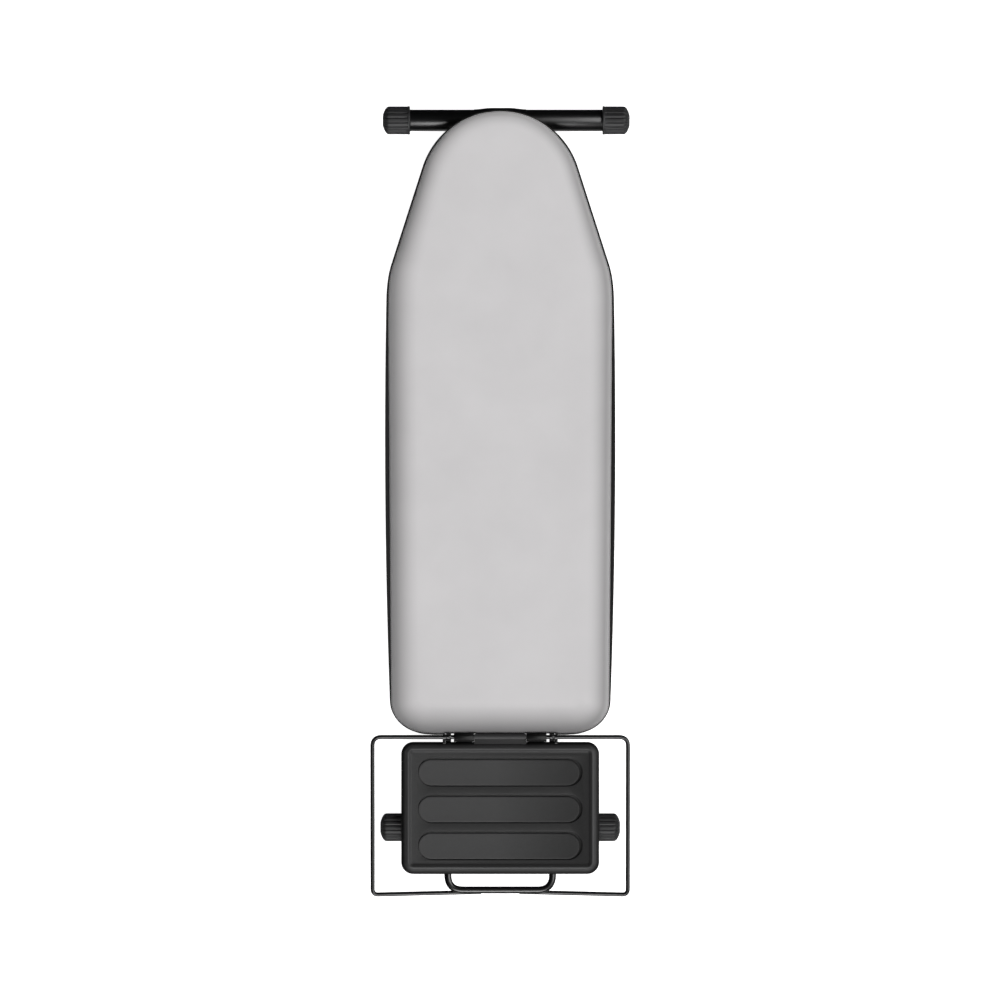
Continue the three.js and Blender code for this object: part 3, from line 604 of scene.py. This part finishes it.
class IRONING_OT_cover(bpy.types.Operator):
    """Stretch the cotton cover over its foam, with its black band, gathered hem and seam"""

    bl_idname = "ironing.cover"
    bl_label = "Cover"

    def execute(self, context):
        settings = context.scene.ironing_cover
        band_finished, thread = band_finish(settings), thread_finish(settings)
        self.cotton(settings)
        self.band(settings, band_finished)
        self.hem(settings, band_finished)
        self.stitches(settings, thread)
        self.foam(settings)
        return {"FINISHED"}

    def cotton(self, settings):
        rows, shade = cotton_rows(settings, 5 * MM)
        ripple = 0.22 * MM
        for r in rows:
            for p in r:
                p[2] += ripple * noise.noise(Vector((p[0] * 16, p[1] * 11, 0.3)))
        finish = cotton_finish(settings)
        cover = piece("ironing_cover", [loft(rows)], finish, "board", shade=shade)
        if cover.data.polygons[0].normal.z < 0:
            cover.data.flip_normals()
        thicken(cover, settings.cloth, -1)
        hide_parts("grey_cover")

    def band(self, settings, finish):
        line, inward, run, wave = gathers(settings)
        seam = seam_depth(line[:, 1])
        top = crown_height(0, settings) - settings.cloth * 0.5
        section = [(None, top), (1.1, 87.9), (0.3, 86.4), (0, 84), (0, 78), (0.1, 72), (0.5, 67.5),
                   (1.8, 65.2), (4.2, 63.9), (9, 63.3), (16, 63.1), (23, 63.3), (28.5, 63.9)]
        rows = []
        bulge = tail_bulge(line)
        for depth, z in section:
            if depth is None:
                rows.append(row(line, inward, seam + 0.3 * MM - bulge, z))
                continue
            share_in = min(max(depth - 1.0, 0) / 24, 1)
            loose = bulge * min(max((z - 66) / 8, 0), 1)
            high = z * MM + settings.gather_depth * share_in * wave
            rows.append(row(line, inward, depth * MM - loose, high))
        band = piece("cover_skirt", [loft(rows)], finish, "board")
        thicken(band, 0.8 * MM, -1)
        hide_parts("cover_band")

    def hem(self, settings, finish):
        line, inward, _, wave = gathers(settings)
        radius, hem_depth, hem_z = 1.7 * MM, 29.5 * MM, 64.6 * MM
        rows = []
        for turn in np.linspace(0, 2 * math.pi, 8, endpoint=False):
            depth = hem_depth + radius * math.cos(turn)
            z = hem_z + settings.gather_depth * 0.9 * wave + radius * math.sin(turn)
            rows.append(row(line, inward, depth, z))
        piece("hem_cord", [loft(rows, wrap=True)], finish, "board")

    def stitches(self, settings, finish):
        line, inward, run = evenly(board_outline(), settings.stitch)
        margin, proud, dip = 1.5 * MM, 0.12 * MM, 0.35 * MM
        depth = seam_depth(line[:, 1]) + margin - tail_bulge(line)
        points = row(line, inward, depth, crown_height(margin, settings) + proud)
        forward = np.roll(points, -1, 0) - points
        thread = np.array([0.15, 0.32, 0.32, 0.15]) * MM
        shapes = []
        for point, step in zip(points, forward):
            ends = [point + step * part for part in (0.12, 0.3, 0.66, 0.84)]
            ends[0][2] -= dip
            ends[3][2] -= dip
            shapes.append(capped(rings(ends, thread, 6)))
        piece("seam_stitches", shapes, finish, "board")

    def foam(self, settings):
        line, inward, _ = evenly(board_outline(), 8 * MM)
        inset = 12.3 * MM
        seam = seam_depth(line[:, 1])
        low, high = FOAM_LOW.z, FOAM_HIGH.z
        section = [(0.8, low), (0, low + 0.8 * MM), (0, low + 2.4 * MM),
                   (0.9, high - 1.2 * MM), (3.2, high - 0.2 * MM), (8, high)]
        rows = [row(line, inward, inset + d * MM, z) for d, z in section]
        foam = piece("foam_core", [capped(rows)], foam_finish(), "board")
        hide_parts("foam_pad")


# ---- Board ----
def inside(points, polygon):
    """Which points lie inside a closed line."""
    x, y = points[:, :1], points[:, 1:]
    a, b = polygon, np.roll(polygon, -1, 0)
    crosses = (a[:, 1] > y) != (b[:, 1] > y)
    rise = np.where(b[:, 1] == a[:, 1], 1e-12, b[:, 1] - a[:, 1])
    left = x < a[:, 0] + (y - a[:, 1]) * (b[:, 0] - a[:, 0]) / rise
    return (crosses & left).sum(1) % 2 == 1


class IRONING_OT_board(bpy.types.Operator):
    """Make the steel net, the pressed rim and the rivets"""

    bl_idname = "ironing.board"
    bl_label = "Board"

    def execute(self, context):
        settings, steel = context.scene.ironing_board, context.scene.ironing_steel
        self.net(settings)
        self.rim(steel)
        self.rivets(settings, steel)
        return {"FINISHED"}

    def net(self, settings):
        low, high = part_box("board_mesh")
        z, tilt = (low.z + high.z) / 2, 0.35 * MM
        half_x, half_y = settings.diamond_wide / 2, settings.diamond_long / 2
        columns, lines = int(high.x / half_x) + 1, int(high.y / half_y) + 1
        centres = np.array([(i * half_x, j * half_y) for j in range(-lines, lines + 1)
                            for i in range(-columns, columns + 1) if (i + j) % 2 == 0])
        line, inward, _ = evenly(board_outline(), 8 * MM)
        edge = row(line, inward, 9 * MM, 0)[:, :2]
        corners = np.array([(half_x, 0), (0, half_y), (-half_x, 0), (0, -half_y)])
        keep = np.all([inside(centres + c, edge) for c in corners], axis=0)
        lift = np.array([0, 1, 0, -1])[:, None] * tilt
        outer = np.hstack([corners, np.zeros((4, 1))])
        inner = np.hstack([corners * (1 - settings.strand * 1.4), -lift])
        cell = np.vstack([outer, inner])
        faces = [(k, (k + 1) % 4, 4 + (k + 1) % 4, 4 + k) for k in range(4)]
        shapes = [(cell + (x, y, z), faces) for x, y in centres[keep]]
        net = piece("steel_net", shapes, net_finish(), "board")
        thicken(net, 0.9 * MM, 0)
        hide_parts("board_mesh")

    def rim(self, steel):
        line, inward, _ = evenly(board_outline(), 6 * MM)
        low, high = RIM_LOW.z, RIM_HIGH.z
        wall, out, flange = 1.5 * MM, 3.5 * MM, 17.5 * MM
        section = [(out + 2 * MM, high), (flange, high), (flange, high - wall), (out + 2.4 * MM, high - wall),
                   (out + wall, high - 2.4 * MM), (out + wall, low + 0.3 * MM), (out + wall - 0.3 * MM, low),
                   (out + 0.3 * MM, low), (out, low + 0.3 * MM), (out, high - 2 * MM),
                   (out + 0.6 * MM, high - 0.6 * MM)]
        rows = [row(line, inward, d, z) for d, z in section]
        rim = piece("rim_formed", [loft(rows, wrap=True)], paint_finish(steel), "board")
        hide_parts("rim_frame")

    def rivets(self, settings, steel):
        r = settings.rivet
        heads = []
        for rail in ("front_cross_rail", "middle_cross_rail", "rear_cross_rail"):
            low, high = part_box(rail)
            for sign in (-1, 1):
                for inset in (12 * MM, 30 * MM):
                    heads.append((sign * (high.x - inset), (low.y + high.y) / 2, low.z))
        for side, _ in SIDES:
            low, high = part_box(f"axle_bracket_{side}")
            x = (low.x + high.x) / 2 + (6 * MM if side == "right" else -6 * MM)
            for y in (low.y + 7 * MM, high.y - 7 * MM):
                heads.append((x, y, high.z - 3 * MM))
        dome = [(0, r), (0.5 * MM, r), (1.2 * MM, r * 0.82), (1.7 * MM, r * 0.5), (1.9 * MM, 0)]
        shapes = [spun(at, (0, 0, -1), dome, 16) for at in heads]
        piece("board_rivets", shapes, zinc_finish(steel), "board")


# ---- Feet ----
class IRONING_OT_feet(bpy.types.Operator):
    """Make the ribbed caps and the soles of both feet"""

    bl_idname = "ironing.feet"
    bl_label = "Feet"

    def execute(self, context):
        settings = context.scene.ironing_feet
        plastic = moulded_finish("cap_plastic", settings.plastic, 0.5, 0.5 * MM, 0.05 * MM)
        rubber = moulded_finish("sole_rubber", settings.rubber, 0.8, 0.7 * MM, 0.08 * MM)
        for foot in ("front", "rear"):
            for side, sign in SIDES:
                self.cap(settings, foot, side, sign, plastic)
                self.sole(foot, side, rubber)
        return {"FINISHED"}

    def cap(self, settings, foot, side, sign, finish):
        """A cap is a turned shell with grooves along it, flat underneath where its sole sits."""
        low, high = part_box(f"{foot}_foot_cap_{side}")
        bar_low, bar_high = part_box(f"{foot}_foot_bar")
        radius = (high.y - low.y) / 2
        bore = (bar_high.y - bar_low.y) / 2 + 0.2 * MM
        centre = ((low.y + high.y) / 2, (bar_low.z + bar_high.z) / 2)
        start, size = low.x if sign > 0 else high.x, high.x - low.x
        body = size - settings.chamfer
        end, waist, fluted_from = radius * 0.36, radius - 0.5 * MM, 4.4 * MM
        profile = [(size - 7 * MM, 0), (size - 7 * MM, bore), (0, bore), (0, radius - 1.4 * MM),
                   (0.5 * MM, waist), (1.4 * MM, radius), (3.6 * MM, radius), (fluted_from, waist)]
        profile += [(body * k / 8, waist) for k in range(1, 9)]
        for t in (0.15, 0.3, 0.45, 0.6, 0.7, 0.8, 0.88, 0.94, 0.98, 1):
            profile.append((body + settings.chamfer * t, end + (waist - end) * (1 - t**2.8)))
        profile += [(size - 0.1 * MM, end * 0.8), (size, end * 0.4), (size, 0)]
        sides = settings.flutes * 12
        turn = np.linspace(0, 2 * math.pi, sides, endpoint=False)
        groove = np.clip(np.cos(turn * settings.flutes) * 1.7 - 0.7, 0, 1) ** 0.6
        rows = []
        for along, r in profile:
            outside = len(rows) > 3
            fluted = outside and fluted_from <= along < size - 0.2 * MM and r > bore * 0.6
            starts, ends = (along - fluted_from) / (1.5 * MM), (size - along) / (5 * MM)
            fade = min(1, starts) * min(1, ends) if fluted else 0
            reach = r - settings.flute_depth * fade * groove
            y, z = centre[0] + reach * np.cos(turn), centre[1] + reach * np.sin(turn)
            if r > bore + 0.1 * MM or outside:
                z = np.maximum(z, low.z)
            rows.append(np.column_stack([np.full(sides, start + sign * along), y, z]))
        shell = capped(rows)
        cap = piece(f"{foot}_ribbed_cap_{side}", [shell], finish, f"{foot}_foot")
        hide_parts(f"{foot}_foot_cap_{side}")

    def sole(self, foot, side, finish):
        low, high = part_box(f"{foot}_foot_sole_{side}")
        shapes = [block((low.x, low.y, low.z + 1.2 * MM), high, 0.5 * MM)]
        ribs = 9
        pitch = (high.x - low.x) / ribs
        half, inset, rise = pitch * 0.32, 0.4 * MM, 1.3 * MM
        for i in range(ribs):
            x = low.x + (i + 0.5) * pitch
            rib = (x - half, low.y + inset, low.z), (x + half, high.y - inset, low.z + rise)
            shapes.append(block(*rib, 0.25 * MM, 2))
        sole = piece(f"{foot}_ribbed_sole_{side}", shapes, finish, f"{foot}_foot")
        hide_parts(f"{foot}_foot_sole_{side}")


# ---- Legs ----
class IRONING_OT_legs(bpy.types.Operator):
    """Add the weld beads and the end plugs of the leg tubes"""

    bl_idname = "ironing.legs"
    bl_label = "Legs"

    def execute(self, context):
        paint, colour = paint_finish(context.scene.ironing_steel), context.scene.ironing_feet.plastic
        plastic = moulded_finish("plug_plastic", colour, 0.55, 0.5 * MM, 0.05 * MM)
        for leg, foot, way in (("front", "front", -1), ("rear", "rear", 1)):
            self.welds(leg, foot, way, paint)
            self.plugs(leg, way, plastic)
        self.front_sleeve(paint)
        return {"FINISHED"}

    def front_sleeve(self, finish):
        """The sleeve that turns on the front foot's bar, drawn down at both ends."""
        low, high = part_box("front_leg_sleeve")
        axis, bar_low = middle("front_foot_bar"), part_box("front_foot_bar")[0]
        radius, length_x = (high.z - low.z) / 2, high.x - low.x
        bore = axis.z - bar_low.z + 0.15 * MM
        neck, taper = bore + 0.5 * MM, 34 * MM
        side = [(0, bore), (0, neck - 0.3 * MM), (0.3 * MM, neck)]
        side += [(taper * t, neck + (radius - neck) * (3 * t * t - 2 * t**3)) for t in np.linspace(0.1, 1, 8)]
        profile = side + [(length_x - along, r) for along, r in side[::-1]]
        turned = spun((low.x, axis.y, axis.z), (1, 0, 0), profile, 64)
        sleeve = piece("front_sleeve_drawn", [turned], finish, "front_leg")
        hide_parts("front_leg_sleeve")

    def welds(self, leg, foot, way, finish):
        """A bead runs round each tube where it meets its sleeve."""
        axis = middle(f"{foot}_foot_bar")
        sleeve = 25.3 * MM  # how far from the bar's axis the beads lie
        shapes = []
        for side, _ in SIDES:
            low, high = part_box(f"{leg}_leg_tube_{side}")
            radius, x = (high.x - low.x) / 2, (low.x + high.x) / 2
            turns = np.linspace(0, 2 * math.pi, 49)
            across, up = radius * np.cos(turns), radius * np.sin(turns)
            reach = np.sqrt(sleeve**2 - up**2)
            lumps = 1.5 * MM + 0.25 * MM * np.sin(turns * 24)
            route = np.column_stack([x + across, axis.y + way * reach, axis.z + up])
            shapes.append(loft(rings(route, lumps, 8)))
        piece(f"{leg}_leg_welds", shapes, finish, f"{leg}_leg")

    def plugs(self, leg, way, finish):
        """A plug closes each tube at its top end."""
        drops = (-12, 2.2), (-0.1, 1.8), (0.1, 0.3), (1, 0), (2, 0.6), (3, 3)
        shapes = []
        for side, _ in SIDES:
            low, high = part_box(f"{leg}_leg_tube_{side}")
            radius, x, z = (high.x - low.x) / 2, (low.x + high.x) / 2, (low.z + high.z) / 2
            end = low.y if way < 0 else high.y
            dome = [(along * MM, radius - drop * MM) for along, drop in drops] + [(3.5 * MM, 0)]
            shapes.append(spun((x, end, z), (0, way, 0), dome, 40))
        piece(f"{leg}_leg_plugs", shapes, finish, f"{leg}_leg")


# ---- Steam station rest ----
def rest_axis():
    """Y and z of the wire that the rest turns on."""
    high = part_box("garment_rail")[1]
    return high.y - RAIL_RADIUS, high.z - RAIL_RADIUS


class IRONING_OT_rest(bpy.types.Operator):
    """Make the tray, its pads, the tube that carries it and the garment rail"""

    bl_idname = "ironing.rest"
    bl_label = "Steam Station Rest"

    def execute(self, context):
        settings = context.scene.ironing_rest
        floor_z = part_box("rest_tray")[1].z - 4.5 * MM
        # Both finishes paint light: a darker floor, a painted falloff from left to right, and painted shadow
        # in the recesses and round the pads.
        plastic = tray_finish("tray_plastic", settings.plastic, 0.5, (0.43, 0.45), floor_z, floor_z - 1 * MM)
        pad_painted_light_z, pad_painted_shadow_z = floor_z + 2 * MM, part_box("tray_pad_front")[1].z - 1 * MM
        rubber = tray_finish("pad_rubber", settings.rubber, 0.62, (0.36, 1.0), pad_painted_light_z, pad_painted_shadow_z)
        paint = paint_finish(context.scene.ironing_steel)
        self.tray(plastic)
        self.pads(settings, rubber)
        self.support_tube(paint)
        self.garment_rail(paint)
        self.cheeks(paint)
        return {"FINISHED"}

    def recesses(self):
        """Centre, half length and half width of each pad's recess, just larger than its pad."""
        clear = 1.0 * MM
        found = []
        for name in ("front", "middle", "rear"):
            low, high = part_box(f"tray_pad_{name}")
            half_x, half_y = (high.x - low.x) / 2 + clear, (high.y - low.y) / 2 + clear
            found.append(((low.x + high.x) / 2, (low.y + high.y) / 2, half_x, half_y))
        return found

    def stadium(self, recess, depth, z):
        """A line round a recess, moved inwards by depth."""
        x, y, long, wide = recess
        ends = wide - depth - 0.01 * MM
        return level(rounded_rectangle(long - depth, wide - depth, ends, (x, y), 16), z)

    def tray(self, finish):
        low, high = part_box("rest_tray")
        lip = 5.2 * MM
        centre = (0, (low.y + high.y - lip) / 2)
        half_x, half_y, corner = high.x, (high.y - lip - low.y) / 2, 24 * MM
        bottom, rim, floor = low.z, high.z, high.z - 5 * MM

        def edge(depth, z):
            d = depth * MM
            return level(rounded_rectangle(half_x - d, half_y - d, max(corner - d, 4 * MM), centre), z)

        outside = (  # from under the floor, up round the wall and the rim, and down to the floor
            (floor, ((17, -4),)),
            (bottom, ((4.2, 4), (3.2, 2.6), (3.0, 0.4), (2.6, 0), (0.5, 0), (0.1, 0.2), (0, 0.6))),
            (bottom, ((0, 4), (0.3, 5.2), (1.1, 6.4), (2.4, 7.6))),
            (rim, ((9.6, -1.9), (11, -0.9), (12.4, -0.2), (13.6, 0), (14.6, -0.2), (15.6, -0.9))),
            (floor, ((18.6, 1.2), (19.6, 0.4), (21, 0))),
        )
        rows = [edge(d, base + z * MM) for base, points in outside for d, z in points]
        shapes = [loft(rows, caps=(True, False))]
        holes = []
        well = [(-0.9, 0), (-0.5, -0.1), (-0.15, -0.4), (0, -0.9), (0, -2.8), (0.3, -3.2), (1.0, -3.4)]
        for recess in self.recesses():
            ring_rows = [self.stadium(recess, d * MM, floor + z * MM) for d, z in well]
            shapes.append(loft(ring_rows, caps=(False, True)))
            holes.append(ring_rows[0])
        flat_rows = [rows[-1], *[h[::-1] for h in holes]]
        triangles = tessellate_polygon([[Vector(p) for p in r] for r in flat_rows])
        shapes.append((np.vstack(flat_rows), [tuple(t) for t in triangles]))
        shapes.append(self.lip())
        half_rib, pitch, inset = 0.9 * MM, 45 * MM, 14 * MM
        for i in range(-3, 4):
            x = i * pitch
            shapes.append(block((x - half_rib, low.y + inset, bottom + 3 * MM),
                                (x + half_rib, high.y - lip - inset, floor - 3.6 * MM), 0.3 * MM, 1))
        tray = piece("station_tray", shapes, finish, "iron_rest")
        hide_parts("rest_tray", "rest_tray_floor")

    def lip(self):
        """The lip in the middle of the tray, curled over the wire that it turns on."""
        hinge_y, hinge_z = rest_axis()
        half, soft, outer, inner = 51.8, 0.3, 6.3, 4.5
        over = [(outer * math.cos(a), outer * math.sin(a)) for a in np.radians(np.linspace(-25, 125, 14))]
        under = [(inner * math.cos(a), inner * math.sin(a)) for a in np.radians(np.linspace(150, -25, 14))]
        to_tray = (-8.6, -4.2), (-13.4, -13.8), (-15.4, -14.6)
        profile = np.array([*over, *to_tray, *under]) * MM
        rows = []
        for x, tight in ((-half, soft), (soft - half, 0), (half - soft, 0), (half, soft)):
            flat = profile - tight * MM * (profile / np.linalg.norm(profile, axis=1)[:, None])
            across = np.full(len(flat), x * MM)
            rows.append(np.column_stack([across, flat[:, 0] + hinge_y, flat[:, 1] + hinge_z]))
        return capped(rows)

    def pads(self, settings, finish):
        for name, (x, y, *size) in zip(("front", "middle", "rear"), self.recesses()):
            low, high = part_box(f"tray_pad_{name}")
            section = [(3.5, low.z), (3.0, low.z + 0.3 * MM)]
            top = (3.0, 0.9), (3.3, 0.4), (3.9, 0.1), (4.8, 0), (7.6, 0.05), (14, 0.25)
            section += [(depth, high.z - drop * MM) for depth, drop in top]
            spot = (x - settings.shift, y - settings.shift * 0.6, *size)
            rows = [self.stadium(spot, d * MM, z) for d, z in section]
            pad = piece(f"{name}_pad", [capped(rows)], finish, "iron_rest")
            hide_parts(f"tray_pad_{name}")

    def support_tube(self, finish):
        low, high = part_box("rest_support_tube")
        radius = (high.z - low.z) / 2
        half, rear, z = high.x - radius + 1.5 * MM, low.y + radius - 3.5 * MM, (low.z + high.z) / 2
        corner = 30 * MM
        route = bent([((-half, high.y, z), 0), ((-half, rear, z), corner),
                      ((half, rear, z), corner), ((half, high.y, z), 0)])
        tube = piece("support_tube", [bar(route, radius, 32)], finish, "iron_rest")
        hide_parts("rest_support_tube")

    def cheeks(self, finish):
        """A barrel and a cheek beside each knuckle keep the rest centred on its wire."""
        hinge_y, hinge_z = rest_axis()
        for side, sign in SIDES:
            low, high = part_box(f"rest_knuckle_{side}")
            start = (high.x if sign > 0 else low.x) + sign * 0.1 * MM
            end = start + sign * 6.6 * MM
            barrel = bar([(start, hinge_y, hinge_z), (end, hinge_y, hinge_z)], 6.0 * MM, 32)
            cheek_low = (min(start, end), hinge_y - 13.5 * MM, hinge_z - 15 * MM)
            cheek = block(cheek_low, (max(start, end), hinge_y - 2.0 * MM, hinge_z - 3.5 * MM), 1.2 * MM)
            piece(f"knuckle_cheek_{side}", [barrel, cheek], finish, "iron_rest")

    def garment_rail(self, finish):
        low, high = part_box("garment_rail")
        radius = RAIL_RADIUS
        half, rear, rear_z = high.x - radius, low.y + radius, low.z + radius
        hinge_y, hinge_z = rest_axis()
        end_x, end_y, rear_bend, front_bend = 38 * MM, rear + 5.2 * MM, 11 * MM, 18 * MM
        corners = [((-end_x, end_y, rear_z), 0), ((-half, rear, rear_z), rear_bend),
                   ((-half, hinge_y, hinge_z), front_bend), ((half, hinge_y, hinge_z), front_bend),
                   ((half, rear, rear_z), rear_bend), ((end_x, end_y, rear_z), 0)]
        rail = piece("garment_wire", [bar(bent(corners), radius, 24)], finish, "iron_rest")
        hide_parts("garment_rail")


# ---- Height lever ----
class IRONING_OT_lever(bpy.types.Operator):
    """Wind the lever's torsion spring"""

    bl_idname = "ironing.lever"
    bl_label = "Lever Spring"

    def execute(self, context):
        low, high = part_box("lever_spring")
        wire = 0.7 * MM
        radius, turns = (high.x - low.x) / 2 - wire, 4
        x, z = (low.x + high.x) / 2, (low.z + high.z) / 2
        t = np.linspace(0, 1, turns * 24 + 1)
        angle = t * turns * 2 * math.pi
        route = np.column_stack([x + radius * np.cos(angle), low.y + wire + t * (high.y - low.y - 2 * wire),
                                 z + radius * np.sin(angle)])
        zinc = zinc_finish(context.scene.ironing_steel)
        spring = piece("torsion_spring", [bar(route, wire, 10)], zinc, "board")
        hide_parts("lever_spring")
        return {"FINISHED"}


# ---- Nodes that keep their shape ----
class IRONING_OT_frame(bpy.types.Operator):
    """Paint, plate and soften the steel and plastic pieces of the frame"""

    bl_idname = "ironing.frame"
    bl_label = "Frame Finishes"

    def execute(self, context):
        steel, feet = context.scene.ironing_steel, context.scene.ironing_feet
        cream, jet = (0.66, 0.64, 0.58), (0.002, 0.002, 0.002)
        nylon = moulded_finish("nylon", cream, 0.45, 0.8 * MM, 0.03 * MM)
        saddle = moulded_finish("saddle_plastic", jet, 0.4, 0.5 * MM, 0.02 * MM)
        fitting = moulded_finish("fitting_plastic", feet.plastic, 0.5, 0.5 * MM, 0.05 * MM)
        looks = {
            "black_steel": (paint_finish(steel), steel.edge),
            "zinc_steel": (zinc_finish(steel), steel.edge),
            "nylon": (nylon, steel.edge),
            "gloss_plastic": (saddle, 0.3 * MM),
            "black_plastic": (fitting, 1.2 * MM),
        }
        slots = {part["node"]: part["material_slot"] for part in frame["record"]["subparts"]}
        for name, owner in frame["nodes"].items():
            if owner.hide_render:
                continue
            slot = slots[name]
            finish, edge = looks["gloss_plastic" if name.startswith("hinge_saddle") else slot]
            dress(name, finish, edge)
        return {"FINISHED"}


# ---- Studio ----
def soft_light(name, towards, spread, strength):
    """A far, wide light that shines the same everywhere. towards is where it stands, seen from the object."""
    data = bpy.data.lights.new(name, "SUN")
    data.energy = strength
    data.angle = math.radians(spread)
    added(name, data).rotation_euler = Vector(towards).to_track_quat("Z", "Y").to_euler()


def backdrop(name, colour, roughness, create, **size):
    """A glowing part of the studio, which throws no shadow and isn't mirrored, and its material's nodes."""
    bm = bmesh.new()
    create(bm, **size)
    mesh = bpy.data.meshes.new(name)
    bm.to_mesh(mesh)
    bm.free()
    made = added(name, mesh)
    material, tree, shader = surface(name, colour, Roughness=roughness, Emission_Strength=1.0)
    shader.inputs["Emission Color"].default_value = (1, 1, 1, 1)
    mesh.materials.append(material)
    made.visible_glossy = made.visible_shadow = False
    return made, tree, shader


class IRONING_OT_studio(bpy.types.Operator):
    """Set up the floor, the soft lights and the camera straight above"""

    bl_idname = "ironing.studio"
    bl_label = "Studio"

    def execute(self, context):
        settings, scene = context.scene.ironing_studio, context.scene
        self.floor(settings)
        world = bpy.data.worlds.new("room")
        scene.world = world
        world.use_nodes = True
        background = world.node_tree.nodes["Background"]
        background.inputs["Color"].default_value = (1, 1, 1, 1)
        background.inputs["Strength"].default_value = settings.sky
        soft_light("tail_light", (-0.05, -1, 0.97), 36, settings.key)
        soft_light("right_light", (1, 0.15, 1.1), 50, settings.side)
        soft_light("floor_bounce", (0.3, -0.3, -1), 80, settings.bounce)
        self.walls()
        camera = bpy.data.cameras.new("above")
        camera.lens = camera.sensor_width * settings.distance / settings.width
        holder = added("above", camera)
        holder.location = (-0.0004, 0.0026, BAND_HIGH.z + settings.distance)
        scene.camera = holder
        scene.view_settings.view_transform = "Standard"
        return {"FINISHED"}

    def floor(self, settings):
        """A pale floor that glows, so that it stays white, and that lets the camera look up through it."""
        grid = {"x_segments": 8, "y_segments": 8, "size": 20}
        floor, tree, shader = backdrop("floor", settings.floor, 0.9, bmesh.ops.create_grid, **grid)
        under = node(tree, "NewGeometry").outputs["Backfacing"]
        clear = node(tree, "BsdfTransparent").outputs[0]
        mixed = node(tree, "MixShader", {"Fac": under})
        tree.links.new(shader.outputs[0], mixed.inputs[1])
        tree.links.new(clear, mixed.inputs[2])
        output = tree.nodes["Material Output"]
        tree.links.new(mixed.outputs[0], output.inputs["Surface"])

    def walls(self):
        """White walls all round, which only the camera sees."""
        sphere = {"u_segments": 32, "v_segments": 16, "radius": 60}
        walls, _, _ = backdrop("walls", (1, 1, 1), 1.0, bmesh.ops.create_uvsphere, **sphere)
        walls.visible_diffuse = walls.visible_transmission = False


# ---- Add-on ----
class IRONING_PT_panel(bpy.types.Panel):
    bl_idname = "IRONING_PT_panel"
    bl_label = "Ironing Board"
    bl_space_type = "VIEW_3D"
    bl_region_type = "UI"
    bl_category = "Ironing Board"

    def draw(self, context):
        for operator in OPERATORS:
            self.layout.operator(operator.bl_idname)
        for name, group in SETTINGS.items():
            box = self.layout.box()
            box.label(text=group.__doc__)
            for key in group.__annotations__:
                box.prop(getattr(context.scene, name), key)


SETTINGS = {
    "ironing_cover": CoverSettings,
    "ironing_board": BoardSettings,
    "ironing_steel": SteelSettings,
    "ironing_feet": FootSettings,
    "ironing_rest": RestSettings,
    "ironing_studio": StudioSettings,
}
OPERATORS = (IRONING_OT_cover, IRONING_OT_board, IRONING_OT_feet, IRONING_OT_legs,
             IRONING_OT_rest, IRONING_OT_lever, IRONING_OT_frame, IRONING_OT_studio)


def register():
    for group in (*SETTINGS.values(), *OPERATORS, IRONING_PT_panel):
        bpy.utils.register_class(group)
    for name, group in SETTINGS.items():
        setattr(bpy.types.Scene, name, PointerProperty(type=group))


def unregister():
    for name in SETTINGS:
        delattr(bpy.types.Scene, name)
    for group in (IRONING_PT_panel, *OPERATORS[::-1], *SETTINGS.values()):
        bpy.utils.unregister_class(group)


def main():
    register()
    for operator in OPERATORS:
        getattr(bpy.ops.ironing, operator.bl_idname.split(".")[1])()


if __name__ == "__main__":
    main()
